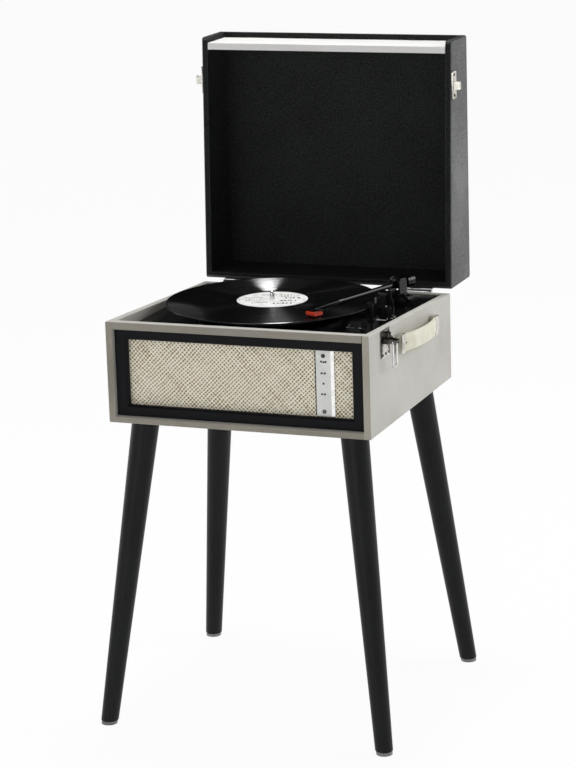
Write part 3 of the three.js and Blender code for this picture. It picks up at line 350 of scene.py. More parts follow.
def leatherette(name, dark, middle, light, roughness, grain_depth, trim=None, grain_scale=760):
    """Embossed covering: pebbled grain, slow changes of tone, and a soft gloss."""
    finish, tree = new_finish(name)
    grain = mottle(tree, 2600, 2.0) * 0.35 + pebbles(tree, grain_scale)
    tone = grain * 0.22 + mottle(tree, 9, 5.0) * 0.8
    colour = shades(tone, (0.28, dark), (0.5, middle), (0.78, light))
    if trim is not None:
        colour = trim(tree, colour, tone)
    gloss = between_values(grain, roughness + 0.08, roughness - 0.1)
    return coat(finish, colour, gloss, grain * -1.0, grain_depth)


def front_trim(tree, colour, tone):
    """A darker tape round the front opening, painted paler on the right post as a painted
    highlight of the light from the right, a butt seam there, and a seam down the back."""
    x, y, z = place_parts(tree)
    post_x = side_x - side_wall + 0.0001
    tape_turn, seam_turn = 0.0007, 0.0014
    edge = between_values(mottle(tree, 500), -0.0002, 0.0002)
    front = figure("LESS_THAN", y + edge, front_y + tape_turn)
    tape = shades(tone, (0.28, (123, 118, 106)), (0.5, (145, 140, 128)), (0.78, (162, 158, 147)))
    lit_post_tape = shades(tone, (0.28, (148, 143, 130)), (0.5, (172, 166, 153)), (0.78, (188, 183, 170)))
    # Painted light: the tape on the right post is paler, standing in for the light from the right.
    colour = blended(front, colour, blended(figure("GREATER_THAN", x, post_x), tape, lit_post_tape))
    beside = figure("COMPARE", x, post_x, 0.0005)
    above = figure("GREATER_THAN", z, front_rim - top_rail)
    near = figure("LESS_THAN", y, front_y + seam_turn)
    middle = figure("COMPARE", x, 0.0, 0.0004)
    behind = figure("GREATER_THAN", y, rear_y - seam_turn)
    seam = figure("MAXIMUM", beside * above * near, middle * behind)
    return blended(seam, colour, paint(70, 64, 56))


greys = (172, 170, 162), (190, 188, 181), (203, 201, 194)
greige = leatherette("greige_leatherette", *greys, 0.62, 0.00018, front_trim)
case = block_between("case_covering", (-side_x, front_y, underside), (side_x, rear_y, front_rim))
work(
    case,
    "edges",
    lambda m, d: m.z > front_rim - hair and m.y > rear_y - hair and abs(d.x) > 0.9,
    bpy.ops.transform.translate,
    value=(0, 0, rear_rim - front_rim),
)
inner_x = side_x - side_wall
jack_low, jack_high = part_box("jack_panel")
cut_out(
    case,
    block_between(
        "hollow",
        (-inner_x, front_y + front_rail, underside - through),
        (inner_x, rear_y - side_wall, front_rim + through),
    ),
    block_between(
        "window",
        (-inner_x, front_y - through, underside + bottom_rail),
        (inner_x, front_y + front_rail + through, front_rim - top_rail),
    ),
    block_between(
        "jack_opening",
        (jack_low.x + jack_rim[0], rear_y - 2 * side_wall, jack_low.z + jack_rim[1]),
        (jack_high.x - jack_rim[0], rear_y + through, jack_high.z - jack_rim[1]),
    ),
)
ease_edges(case, 0.0013, 4)
case.data.materials.append(greige)
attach(case, "case")
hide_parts("case_shell")


# Inner board: the bottom board, the baffle behind the cloth, and the speakers' cones are
# pressed fibre, left bare or dyed.
def fibreboard(name, dark, light, roughness=0.85):
    """Pressed board: short fibres and flecks."""
    finish, tree = new_finish(name)
    tone = pebbles(tree, 420) * 0.25 + mottle(tree, 700, 6.0, stretch=(1, 0.35, 1))
    return coat(finish, shades(tone, (0.35, dark), (0.8, light)), roughness, tone, 0.0002)


def give_finish(finish, *names):
    """Gives CAD pieces that stay a finish of their own."""
    for name in names:
        materials = nodes[name].data.materials
        if len(materials):
            materials[0] = finish
        else:
            materials.append(finish)


brown_board = fibreboard("brown_board", (92, 70, 48), (140, 112, 80))
give_finish(brown_board, "bottom_board", "speaker_baffle")


# Metals: nickel-plated latches, hinges and caps, bare steel inside, and darkened screws. Each
# has the faint scratches and worn patches of handling.
def plated(name, colour, worn, roughness, scratch=0.00002):
    """Plated metal: fine scratches, and patches where the shine has dulled."""
    finish, tree = new_finish(name)
    patches = mottle(tree, 60, 4.0)
    scratches = mottle(tree, 900, 4.0, stretch=(1, 1, 0.12))
    dull = scratches * 0.5 + patches * 0.5
    gloss = between_values(dull, roughness + 0.14, roughness - 0.04)
    colours = shades(patches, (0.3, worn), (0.62, colour))
    return coat(finish, colours, gloss, scratches, scratch, Metallic=1.0)


nickel = plated("nickel_plate", (222, 220, 212), (150, 144, 130), 0.14)
# Dark nickel: the rivets and plate screws, and painted shade on the latch lever and round the
# latch pivot.
dark_nickel_and_shade = plated("dark_nickel_and_shade", (112, 110, 104), (62, 58, 52), 0.18)
chrome = plated("chrome_plate", (232, 233, 234), (206, 208, 210), 0.1)
steel = plated("bare_steel", (178, 178, 176), (140, 138, 132), 0.32)
screw_black = plated("blackened_steel", (70, 70, 72), (38, 38, 40), 0.3)


# Legs: four tapered beech legs in satin black lacquer, splayed outwards and screwed into steel
# sockets on the bottom board, each on a grey plastic glide.
def lacquer(name, dark, light, roughness, shine, grain=0.00004):
    """Brushed lacquer over wood, with its grain telegraphing through."""
    finish, tree = new_finish(name)
    lines = mottle(tree, 420, 5.0, stretch=(1, 1, 0.06))
    tone = lines * 0.5 + mottle(tree, 14) * 0.5
    gloss = between_values(tone, roughness - 0.06, roughness + 0.1)
    colours = shades(tone, (0.3, dark), (0.7, light))
    return coat(finish, colours, gloss, lines, grain, **{"Specular IOR Level": shine})


def moulding(name, dark, light, roughness, texture=0.00003, scale=1500, shine=0.5):
    """Moulded plastic: a fine even texture, slightly uneven gloss, and slow changes of tone."""
    finish, tree = new_finish(name)
    slow = mottle(tree, 22, 4.0)
    gloss = between_values(slow, roughness - 0.04, roughness + 0.08)
    colours = shades(slow, (0.35, dark), (0.7, light))
    fine = mottle(tree, scale)
    return coat(finish, colours, gloss, fine, texture, **{"Specular IOR Level": shine})


def slice_at(piece, place, normal, **how):
    """Cuts a piece across at a plane."""
    open_up(piece, action="SELECT")
    bpy.ops.mesh.bisect(plane_co=place, plane_no=normal, **how)
    close_up()


def leg_round(name, top, foot, top_radius, foot_radius, low, high, edge):
    """A tapered round cut level at two heights, its edges eased."""
    axis = top - foot
    past = 0.06
    growth = (top_radius - foot_radius) / axis.length
    piece = stock(
        name,
        bpy.ops.mesh.primitive_cone_add,
        vertices=72,
        radius1=foot_radius - growth * past,
        radius2=top_radius + growth * past,
        depth=axis.length + 2 * past,
        location=(top + foot) / 2,
        rotation=axis.normalized().to_track_quat("Z", "Y").to_euler(),
    )
    slice_at(piece, (0, 0, low), (0, 0, 1), use_fill=True, clear_inner=True)
    slice_at(piece, (0, 0, high), (0, 0, 1), use_fill=True, clear_outer=True)
    return ease_edges(piece, edge, 3, 40)


leg_black = lacquer("leg_lacquer", (9, 10, 11), (27, 28, 29), 0.36, 0.17)
glide_grey = moulding("glide_grey", (120, 122, 122), (150, 151, 150), 0.5)
middle_y = (front_y + rear_y) / 2
top_x, top_y = 0.153, 0.137
foot_x, foot_y = 0.2054, 0.194
leg_radii = (0.0194, 0.0122)
leg_heights = (0.0053, underside - 0.0003)
glide_radii = (0.0113, 0.0113)
glide_heights = (0.0, 0.005)
for name, hand_x, hand_y in (
    ("front_left", -1, -1),
    ("front_right", 1, -1),
    ("rear_left", -1, 1),
    ("rear_right", 1, 1),
):
    top = Vector((hand_x * top_x, middle_y + hand_y * top_y, underside))
    foot = Vector((hand_x * foot_x, middle_y + hand_y * foot_y, 0))
    leg = leg_round(f"turned_leg_{name}", top, foot, *leg_radii, *leg_heights, 0.0008)
    leg.data.materials.append(leg_black)
    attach(leg, "case")
    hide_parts(f"leg_{name}")
    glide = leg_round(f"glide_{name}", top, foot, *glide_radii, *glide_heights, 0.0007)
    glide.data.materials.append(glide_grey)
    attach(glide, "case")
    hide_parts(f"leg_glide_{name}")
    give_finish(steel, f"leg_socket_{name}")


# Grille frame: a black-stained frame let into the front, its inner edges chamfered. Its bars
# are of wood, mitred and glued, and the cloth lies behind them.
frame_black = lacquer("frame_black", (12, 13, 15), (22, 23, 26), 0.55, 0.12, 0.00006)
frame_low, frame_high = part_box("grille_frame")
stile, rail = 0.017, 0.0146
opening_x = frame_high.x - stile
opening_low, opening_high = frame_low.z + rail, frame_high.z - rail
chamfer = 0.0022
grille_frame = block_between("grille_surround", frame_low, frame_high)
cut_out(
    grille_frame,
    block_between(
        "opening",
        (-opening_x, frame_low.y - through, opening_low),
        (opening_x, frame_high.y + through, opening_high),
    ),
)
work(
    grille_frame,
    "edges",
    lambda m, d: m.y < frame_low.y + hair
    and abs(m.x) < opening_x + hair
    and opening_low - hair < m.z < opening_high + hair
    and abs(d.y) < 0.1,
    bpy.ops.mesh.bevel,
    offset=chamfer,
    segments=1,
)
ease_edges(grille_frame, 0.0005, 2)
grille_frame.data.materials.append(frame_black)
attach(grille_frame, "case")
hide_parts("grille_frame")


# Grille cloth: thick cream yarn woven over and under on the bias, with painted brown shade in its
# gaps and where it dips, stretched over the baffle and stapled behind, so that it bows forward a
# very little.
def middle_of(node):
    """The middle of a node's box."""
    low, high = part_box(node)
    return (low + high) / 2


def woven_yarn():
    """Two sets of slanting cream yarns, over and under, painted brown as shade where they dip and
    in the gaps.
    """
    finish, tree = new_finish("woven_yarn")
    yarn_pitch = 0.0041
    slant = {"stretch": (1 / yarn_pitch,) * 3, "turn": (0, math.radians(45), 0)}
    slant_x, _, slant_z = place_parts(tree, **slant)
    across = mottle(tree, 26) * 1.3 + slant_x
    along = mottle(tree, 34) * 1.3 + slant_z
    cell_across, cell_along = figure("FLOOR", across), figure("FLOOR", along)
    over = figure("ABSOLUTE", figure("MODULO", cell_across + cell_along, 2.0))
    under = 1.0 - over
    arch_across = figure("ABSOLUTE", figure("SINE", across * math.pi))
    arch_along = figure("ABSOLUTE", figure("SINE", along * math.pi))
    hump_across = arch_across**0.32 * (arch_along * 0.5 + 0.5)
    hump_along = arch_along**0.32 * (arch_across * 0.5 + 0.5)
    height = hump_across * over + hump_along * under
    # Painted shade: the gaps between yarns, and the low parts of the weave by their height, are
    # darker.
    gap_shade = (1.0 - arch_across) ** 1.4 * (1.0 - arch_along) ** 1.4
    pair = added(tree, "CombineXYZ", {0: cell_across * over, 1: cell_along * under}).outputs[0]
    yarn = number_from(tree, "TexWhiteNoise", {"Vector": pair}, "Value", noise_dimensions="2D")
    fibres = mottle(tree, 2400)
    shade = fibres * 0.24 + height * 0.8 - 0.56
    shade = shade + (mottle(tree, 240, 2.0) * 0.6 + mottle(tree, 46, 4.0) * 0.3) - 0.07
    speckle = mottle(tree, 640) - 0.5
    shade = speckle * 0.7 + (gap_shade * -1.3 + (yarn * 0.3 + shade))
    # The browns are painted shade for the gaps and dips; the creams are the yarn.
    shade_browns = (0.06, (50, 36, 25)), (0.26, (152, 130, 98))
    creams = (0.46, (246, 232, 202)), (0.74, (255, 250, 233))
    soft = {"Sheen Weight": 0.2, "Specular IOR Level": 0.2}
    colours = shades(shade, *shade_browns, *creams)
    return coat(finish, colours, 0.8, fibres * 0.12 + height, 0.0006, **soft)


cloth_low, cloth_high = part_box("grille_cloth")
cloth_width, _, cloth_height = cloth_high - cloth_low
cloth_middle = middle_of("grille_cloth")
cloth_thickness = 0.0012
fullness, slack = 0.0008, 0.00008
cloth = stock(
    "grille_weave",
    bpy.ops.mesh.primitive_grid_add,
    stretch=(cloth_width, cloth_height, 1),
    x_subdivisions=170,
    y_subdivisions=52,
    size=1,
    location=(0, cloth_low.y + cloth_thickness, cloth_middle.z),
    rotation=(math.radians(90), 0, 0),
)
for point in cloth.data.vertices:
    x, _, z = point.co
    u = 2 * (x - cloth_middle.x) / cloth_width
    v = 2 * (z - cloth_middle.z) / cloth_height
    bow = (1 - u**4) * (1 - v**4)
    ripple = math.sin(x * 61) * math.cos(z * 83 + 1.3 * math.sin(x * 23))
    point.co.y -= fullness * bow + slack * bow * ripple
shaped(cloth, "SOLIDIFY", thickness=cloth_thickness, offset=-1)
bpy.ops.object.shade_smooth()
cloth.data.materials.append(woven_yarn())
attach(cloth, "case")
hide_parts("grille_cloth")


# Control plate: a strip of brushed aluminium, its right edge cut sloping and painted bright as a
# highlight, held by a screw at each end, with small punched and inked dots for its settings. A
# black strip showing past its left edge is a painted shadow.
def smooth_under(piece, angle):
    """Shades a piece smooth, except over edges sharper than an angle."""
    only(piece)
    bpy.ops.object.shade_smooth_by_angle(angle=math.radians(angle))
    return piece


def screw(radius, height):
    """A domed screw head with its cross slot in a second finish, painted black as shade; its
    seat on z = 0, facing up.
    """
    head = stock(
        "screw",
        bpy.ops.mesh.primitive_cylinder_add,
        vertices=28,
        radius=radius,
        depth=height,
        location=(0, 0, height / 2),
    )
    bevel = bpy.ops.mesh.bevel
    work(head, "faces", lambda m, n: n.z > 0.9, bevel, offset=height * 0.45, segments=3)
    reach, half = radius * 0.8, radius * 0.22
    for a, b in ((reach, half), (half, reach)):
        cut_out(head, block_between("slot", (-a, -b, height * 0.45), (a, b, 2 * height)))
    # Painted shade: the slot's faces take the second finish, black standing in for the shade in
    # the slot.
    for face in head.data.polygons:
        middle = face.center
        if math.hypot(middle.x, middle.y) < radius * 0.82 and 0 < middle.z < height * 0.99:
            face.material_index = 1
    return smooth_under(head, 35)


def facing(direction, place, spin=0.0):
    """Stands a piece modelled on z = 0 at a place, facing a direction."""
    turn = Vector(direction).to_track_quat("Z", "Y").to_matrix().to_4x4()
    return Matrix.Translation(place) @ turn @ Matrix.Rotation(spin, 4, "Z")


def placed(name, shape):
    """A piece made of a mesh or a curve, put into the scene."""
    piece = bpy.data.objects.new(name, shape)
    bpy.context.scene.collection.objects.link(piece)
    return piece


def joined(name, *pieces):
    """Several pieces as one."""
    only(pieces[0])
    for piece in pieces:
        piece.select_set(True)
    bpy.ops.object.join()
    pieces[0].name = name
    return pieces[0]


def copies(master, name, places):
    """Copies of a piece, each with its own mesh, joined as one piece; the master goes."""
    made = []
    for place in places:
        made.append(placed(name, master.data.copy()))
        made[-1].data.transform(place)
    bpy.data.objects.remove(master)
    return joined(name, *made)


def brushed_plate():
    """Aluminium brushed along its length, with a satin shine."""
    finish, tree = new_finish("brushed_aluminium")
    strokes = mottle(tree, 3200, 4.0, stretch=(1, 1, 0.02))
    tone = strokes * 0.6 + mottle(tree, 40) * 0.4
    colours = shades(tone, (0.3, (204, 205, 202)), (0.7, (240, 241, 237)))
    gloss = between_values(strokes, 0.3, 0.5)
    return coat(finish, colours, gloss, strokes, 0.00002, Metallic=0.25)


plate_low, plate_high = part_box("control_plate")
slope_width, slope_depth = 0.005, 0.0011
slope_x = plate_high.x - slope_width
plate = block_between("setting_plate", plate_low, plate_high)
slice_at(plate, (slope_x, 0, 0), (1, 0, 0))
work(
    plate,
    "verts",
    lambda p, n: p.x > plate_high.x - hair and p.y < plate_low.y + hair,
    bpy.ops.transform.translate,
    value=(0, slope_depth, 0),
)
ease_edges(plate, 0.00025, 2, 12)
# Painted highlight: the sloping right edge takes a brighter plating, standing in for the light it
# catches.
for face in plate.data.polygons:
    if face.center.x > slope_x + 0.0003 and face.normal.y < -0.8:
        face.material_index = 1
edge_highlight_plating = plated("painted_highlight_edge", (252, 252, 250), (236, 236, 233), 0.16)
plate.data.materials.append(brushed_plate())
plate.data.materials.append(edge_highlight_plating)
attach(plate, "case")
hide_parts("control_plate")

to_front = (0, -1, 0)
plate_x = (plate_low.x + slope_x) / 2 + 0.0004
screw_y = plate_low.y - 0.00005
top_screw_in, low_screw_in = 0.0072, 0.0065
plate_screws = copies(
    screw(0.0029, 0.0011),
    "plate_screws",
    [
        facing(to_front, (plate_x, screw_y, plate_high.z - top_screw_in), 0.4),
        facing(to_front, (plate_x, screw_y, plate_low.z + low_screw_in), 0.9),
    ],
)
# Black ink for printed dots and marks, also used as painted shade in screw slots and as a painted
# shadow.
ink_and_shade_black = moulding("ink_and_shade_black", (12, 12, 13), (26, 26, 28), 0.6, shine=0.3)
plate_screws.data.materials.append(dark_nickel_and_shade)
plate_screws.data.materials.append(ink_and_shade_black)
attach(plate_screws, "case")

dot = stock(
    "dot", bpy.ops.mesh.primitive_cylinder_add, vertices=16, radius=0.0015, depth=0.0003
)
dot_y = plate_low.y - 0.0001
plate_height = plate_high.z - plate_low.z
dots = copies(
    ease_edges(dot, 0.00012, 2),
    "plate_dots",
    [
        facing(to_front, (plate_x + aside, dot_y, plate_high.z - down * plate_height))
        for aside, down in (
            (-0.0030, 0.168),
            (0.0004, 0.176),
            (0.0034, 0.170),
            (-0.0026, 0.345),
            (0.0018, 0.345),
            (-0.0004, 0.503),
            (-0.0028, 0.665),
            (0.0014, 0.665),
        )
    ],
)
dots.data.materials.append(ink_and_shade_black)
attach(dots, "case")
# Painted shadow: a black strip just behind the plate's left edge, standing in for its shadow.
painted_shadow_strip = block_between(
    "plate_painted_shadow",
    (plate_low.x - 0.0019, plate_high.y + 0.0001, plate_low.z + 0.001),
    (plate_low.x + 0.002, plate_high.y + 0.0003, plate_high.z - 0.001),
)
painted_shadow_strip.data.materials.append(ink_and_shade_black)
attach(painted_shadow_strip, "case")


# Speakers and their wiring board: paper cones in pressed baskets behind the cloth, and the
# amplifier's board on the case's floor.
def circuit_lacquer():
    """Green solder mask with paler tracks and pads."""
    finish, tree = new_finish("circuit_green")
    cells = {"Scale": 120, "Vector": surface_place(tree)}
    tracks = number_from(tree, "TexVoronoi", cells, "Distance", feature="DISTANCE_TO_EDGE")
    line = mottle(tree, 60) * 0.1 + tracks
    greens = (0.08, (96, 150, 96)), (0.16, (26, 92, 54)), (0.6, (20, 78, 46))
    return coat(finish, shades(line, *greens), 0.35, line, 0.0001)


give_finish(circuit_lacquer(), "circuit_board")
cone_paper = fibreboard("cone_paper", (28, 27, 26), (52, 50, 46), 0.9)
give_finish(cone_paper, "speaker_left", "speaker_right")


# Deck: a black glossy moulded plate on ledges inside the case, with fine wiping scratches,
# printed marks round the knob, and screws at its corners.
def glossy_deck():
    """Glossy black plastic with hair-fine scratches and a little dust."""
    finish, tree = new_finish("deck_gloss")
    wipes = mottle(tree, 500, 5.0, stretch=(1, 0.08, 1), turn=(0, 0, 0.6))
    specks = figure("GREATER_THAN", mottle(tree, 3000, 1.0), 0.74)
    blacks = (0.15, (6, 6, 7)), (0.5, (11, 11, 13)), (0.8, (64, 64, 66))
    colours = shades(specks * 0.3 + wipes * 0.5, *blacks)
    gloss = between_values(wipes, 0.1, 0.3)
    return coat(finish, colours, gloss, wipes, 0.00002, **{"Specular IOR Level": 0.22})


def eased_copy(node, name, width, segments=2, angle=30):
    """A copy of a CAD piece with its triangles merged into flat faces and its edges eased."""
    piece = placed(name, nodes[node].data.copy())
    piece.data.materials.clear()
    only(piece)
    if piece.data.has_custom_normals:
        bpy.ops.mesh.customdata_custom_splitnormals_clear()
    open_up(piece, action="SELECT")
    bpy.ops.mesh.remove_doubles(threshold=0.000004)
    bpy.ops.mesh.dissolve_limited(angle_limit=math.radians(1.5))
    close_up()
    return ease_edges(piece, width, segments, angle)


deck = eased_copy("deck_plate", "deck", 0.0003)
deck.data.materials.append(glossy_deck())
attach(deck, "case")
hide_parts("deck_plate")

deck_low, deck_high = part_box("deck_plate")
deck_top = deck_high.z
knob_place = middle_of("volume_knob")
knob_place.z = deck_top
speed_place = middle_of("speed_switch")
stop_place = middle_of("auto_stop_switch")
print_white = moulding("print_white", (196, 198, 196), (222, 223, 220), 0.55)
mark_thickness = 0.00008
mark_start, first_length, growth = 0.0118, 0.0018, 0.00022
mark_count, first_turn, turn_step = 11, -150, 30
marks = []
for step in range(mark_count):
    mark_end = mark_start + first_length + growth * step
    mark = block_between("mark", (-0.0005, mark_start, 0), (0.0005, mark_end, mark_thickness))
    turn = Matrix.Rotation(-math.radians(first_turn + step * turn_step), 4, "Z")
    mark.data.transform(Matrix.Translation(knob_place) @ turn)
    marks.append(mark)
for place, x, y, across, along in (
    (speed_place, -0.0215, -0.0120, 0.0003, 0.0170),
    (speed_place, -0.0215, -0.0120, 0.0128, 0.0003),
    (speed_place, -0.0038, -0.0120, 0.0076, 0.0010),
    (stop_place, -0.0038, -0.0120, 0.0076, 0.0010),
    (knob_place, -0.0080, -0.0220, 0.0022, 0.0034),
    (knob_place, -0.0050, -0.0220, 0.0014, 0.0034),
    (knob_place, -0.0028, -0.0220, 0.0024, 0.0034),
    (knob_place, 0.0004, -0.0220, 0.0016, 0.0034),
    (knob_place, 0.0028, -0.0220, 0.0022, 0.0034),
    (knob_place, 0.0058, -0.0220, 0.0018, 0.0034),
):
    low = Vector((place.x + x, place.y + y, deck_top))
    marks.append(block_between("mark", low, low + Vector((across, along, mark_thickness))))
deck_marks = joined("deck_marks", *marks)
deck_marks.data.materials.append(print_white)
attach(deck_marks, "case")

from_side, from_end = 0.0062, 0.0072
screw_x = deck_high.x - from_side
screw_front, screw_rear = deck_low.y + from_end, deck_high.y - from_end
deck_screws = copies(
    screw(0.0026, 0.0009),
    "deck_screws",
    [
        facing((0, 0, 1), (x, y, deck_top), spin)
        for x, y, spin in (
            (-screw_x, screw_front, 0.3),
            (screw_x, screw_front, 1.0),
            (-screw_x, screw_rear, 0.7),
            (screw_x, screw_rear, 0.1),
        )
    ],
)
deck_screws.data.materials.append(screw_black)
deck_screws.data.materials.append(ink_and_shade_black)
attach(deck_screws, "case")


# Turntable: a die-cast platter under a ribbed rubber mat, turning on a polished steel spindle.
# The platter is hollow below, between its rim and the ring that the belt runs on.
def turned(name, profile, steps, centre=(0, 0, 0)):
    """A turned piece: a profile of (radius, height) drawn point by point and spun upright."""
    piece = stock(name, bpy.ops.mesh.primitive_plane_add, size=0.001)
    open_up(piece, action="SELECT")
    bpy.ops.mesh.merge(type="CENTER")
    bpy.ops.mesh.select_all(action="SELECT")
    bpy.ops.transform.translate(value=(profile[0][0], 0, profile[0][1]))
    for (radius, height), (next_radius, next_height) in zip(profile, profile[1:]):
        step = (next_radius - radius, 0, next_height - height)
        bpy.ops.mesh.extrude_vertices_move(TRANSFORM_OT_translate={"value": step})
    bpy.ops.mesh.select_all(action="SELECT")
    bpy.ops.mesh.spin(steps=steps, angle=2 * math.pi, center=(0, 0, 0), axis=(0, 0, 1))
    bpy.ops.mesh.select_all(action="SELECT")
    bpy.ops.mesh.remove_doubles(threshold=0.000002)
    bpy.ops.mesh.normals_make_consistent(inside=False)
    close_up()
    smooth_under(piece, 32)
    piece.data.transform(Matrix.Translation(centre))
    return piece


spindle_place = middle_of("platter")
spindle_place.z = 0
bore = 0.0039
low, high = (corner.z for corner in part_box("platter"))
under = high - 0.003
platter_profile = [
    *((bore, low), (0.012, low), (0.012, under), (0.0716, under), (0.0716, low), (0.074, low)),
    *((0.074, under), (0.1, under), (0.1, low), (0.1032, low), (0.104, low + 0.0008)),
    *((0.104, high - 0.0008), (0.1032, high), (bore, high), (bore, low)),
]
platter = turned("cast_platter", platter_profile, 96, spindle_place)
cast_metal = plated("cast_platter", (92, 93, 95), (58, 58, 60), 0.38, 0.00005)
platter.data.materials.append(cast_metal)
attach(platter, "turntable")
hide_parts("platter")

low, high = (corner.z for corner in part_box("slip_mat"))
rubber = moulding("mat_rubber", (22, 22, 22), (34, 34, 34), 0.85, 0.0001, 900)
rib_count, rib_pitch, rib_depth = 12, 0.007, 0.0005
mat_profile = [(bore, low), (0.101, low), (0.101, high - 0.0004), (0.1002, high)]
for rib in range(rib_count):
    edge = 0.096 - rib * rib_pitch
    mat_profile += [(edge, high), (edge - 0.0006, high - rib_depth)]
    mat_profile += [(edge - 0.0024, high - rib_depth), (edge - 0.003, high)]
mat_profile += [(bore, high), (bore, low)]
mat = turned("ribbed_mat", mat_profile, 96, spindle_place)
mat.data.materials.append(rubber)
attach(mat, "turntable")
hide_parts("slip_mat")

spindle_profile = [
    *((0, 0.5356), (0.0065, 0.5356), (0.0065, 0.5604), (0.012, 0.5604), (0.012, 0.5616)),
    *((0.0036, 0.5618), (0.0036, 0.5884), (0.0034, 0.5896), (0.0026, 0.5908)),
    *((0.0014, 0.5917), (0, 0.592)),
]
spindle = turned("polished_spindle", spindle_profile, 64, spindle_place)
spindle.data.materials.append(chrome)
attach(spindle, "case")
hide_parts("spindle")


# Record: a pressed 12-inch disc. A raised bead runs round its edge; inside it lie the grooves,
# in bands parted by plain rings, then the smooth run-out beside the label.
run_out = 0.0615


def from_spindle(tree):
    """How far a point lies from the spindle."""
    x, y, _ = place_parts(tree, shift=(-spindle_place.x, -spindle_place.y, 0))
    return figure("SQRT", x * x + y * y)


def pressed_vinyl():
    """Black vinyl whose grooves lean to the middle and spread each highlight outwards."""
    finish, tree = new_finish("pressed_vinyl")
    radius = from_spindle(tree)
    grooves = figure("SINE", radius * (2 * math.pi / 0.0011))
    ring = added(tree, "CombineXYZ", {0: radius}).outputs[0]
    bands = number_from(tree, "TexNoise", {"Scale": 420, "Detail": 4.0, "Vector": ring})
    tone = bands * 0.25 + mottle(tree, 1800, 2.0) * 0.75
    colours = shades(tone, (0.35, (7, 7, 8)), (0.8, (14, 14, 15)))
    gloss = between_values(bands, 0.08, 0.32)
    groove_depth = 0.00002
    lean = math.tan(math.radians(29)) / groove_depth
    height = figure("MULTIPLY_ADD", figure("MAXIMUM", radius, run_out), lean, grooves)
    spread = {"Specular IOR Level": 1.0, "Anisotropic": 1.0, "Anisotropic Rotation": 0.25}
    return coat(finish, colours, gloss, height, groove_depth, **spread)


low, high = (corner.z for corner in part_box("record"))
under = low + 0.0002
record_radius = 0.1508
label_edge = 0.0503
record_profile = [
    *((bore, under), (label_edge + 0.004, under), (record_radius - 0.002, under)),
    *((record_radius - 0.0007, low), (record_radius - 0.0001, low + 0.0004)),
    *((record_radius, low + 0.00075), (record_radius - 0.0001, high - 0.0004)),
    *((record_radius - 0.0007, high), (record_radius - 0.0019, high - 0.0001)),
    (record_radius - 0.0035, high - 0.0003),
]
groove_step, band_grooves = 0.0006, 13
groove_place = record_radius - 0.005
grooves = 0
while groove_place > run_out + 0.002:
    record_profile.append((groove_place, high - 0.0003))
    groove_place -= groove_step
    record_profile.append((groove_place, high - 0.00036))
    groove_place -= groove_step
    grooves += 1
    if grooves % band_grooves == 0:
        record_profile.append((groove_place, high - 0.00028))
        groove_place -= 0.0016
        record_profile.append((groove_place, high - 0.00028))
        groove_place -= 0.0003
record_profile += [
    *((0.0600, high - 0.00028), (0.0560, high - 0.00028), (0.0553, high - 0.0001)),
    *((0.0535, high - 0.00005), (label_edge, high - 0.00005), (label_edge, high - 0.00015)),
    *((bore, high - 0.00015), (bore, under)),
]
record = turned("pressed_record", record_profile, 144, spindle_place)
for face in record.data.polygons:
    away = face.center - spindle_place
    if math.hypot(away.x, away.y) > record_radius - 0.0036:
        face.material_index = 1
bead = moulding("vinyl_bead", (10, 10, 11), (18, 18, 19), 0.12, shine=1.0)
record.data.materials.append(pressed_vinyl())
record.data.materials.append(bead)
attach(record, "turntable")
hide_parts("record")


# Label: a disc of uncoated paper pressed into the record, with two thin printed rings and rows
# of short plain dashes.
def label_paper():
    """Off-white paper with soft fibres, faint smudges and two printed rings."""
    finish, tree = new_finish("label_paper")
    fibres = mottle(tree, 1600, 5.0)
    radius = from_spindle(tree)
    outer = figure("COMPARE", radius, 0.0462, 0.00025)
    inner = figure("COMPARE", radius, 0.0165, 0.0003)
    tone = fibres * 0.3 + mottle(tree, 90, 4.0) * 0.7
    paper = shades(tone, (0.34, (196, 196, 193)), (0.5, (242, 242, 240)))
    colour = blended(figure("MAXIMUM", outer, inner) * 0.55, paper, paint(120, 120, 122))
    return coat(finish, colour, 0.6, fibres, 0.00005)


low, high = (corner.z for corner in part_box("record_label"))
label_profile = [
    *((bore, low), (0.05, low), (0.05, high - 0.0001), (0.0496, high), (0.0372, high)),
    *((0.0368, high - 0.00012), (0.0360, high - 0.00012), (0.0356, high), (bore, high)),
    (bore, low),
]
label = turned("paper_label", label_profile, 96, spindle_place)
label.data.materials.append(label_paper())
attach(label, "turntable")
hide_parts("record_label")

chance = random.Random(7)
dash_thickness = 0.00006
label_turn = 0.32
printed = {"bold": [], "pale": []}
for kind, x, y, length, width in (
    ("bold", 0.012, 0.016, 0.024, 0.0048),
    ("bold", 0.018, 0.003, 0.022, 0.0070),
    ("bold", 0.012, -0.013, 0.024, 0.0060),
    ("bold", 0.002, -0.030, 0.024, 0.0064),
    ("pale", 0.010, 0.026, 0.016, 0.0026),
    ("pale", -0.040, 0.010, 0.024, 0.0030),
    ("pale", -0.043, 0.001, 0.028, 0.0026),
    ("pale", -0.038, -0.010, 0.020, 0.0034),
    ("pale", -0.028, -0.022, 0.020, 0.0030),
    ("pale", -0.014, 0.026, 0.018, 0.0030),
):
    along = x
    while along < x + length:
        dash = chance.uniform(0.0012, 0.0036)
        corners = (along, y, 0), (along + dash, y + width, dash_thickness)
        printed[kind].append(block_between("dash", *corners))
        along += dash + chance.uniform(0.0012, 0.0052 if kind == "bold" else 0.003)
on_label = Matrix.Translation((spindle_place.x, spindle_place.y, high))
ink_grey = moulding("ink_grey", (112, 112, 113), (150, 150, 150), 0.6)
for kind, ink in (("bold", ink_and_shade_black), ("pale", ink_grey)):
    dashes = joined(f"label_print_{kind}", *printed[kind])
    dashes.data.transform(on_label @ Matrix.Rotation(label_turn, 4, "Z"))
    dashes.data.materials.append(ink)
    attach(dashes, "turntable")


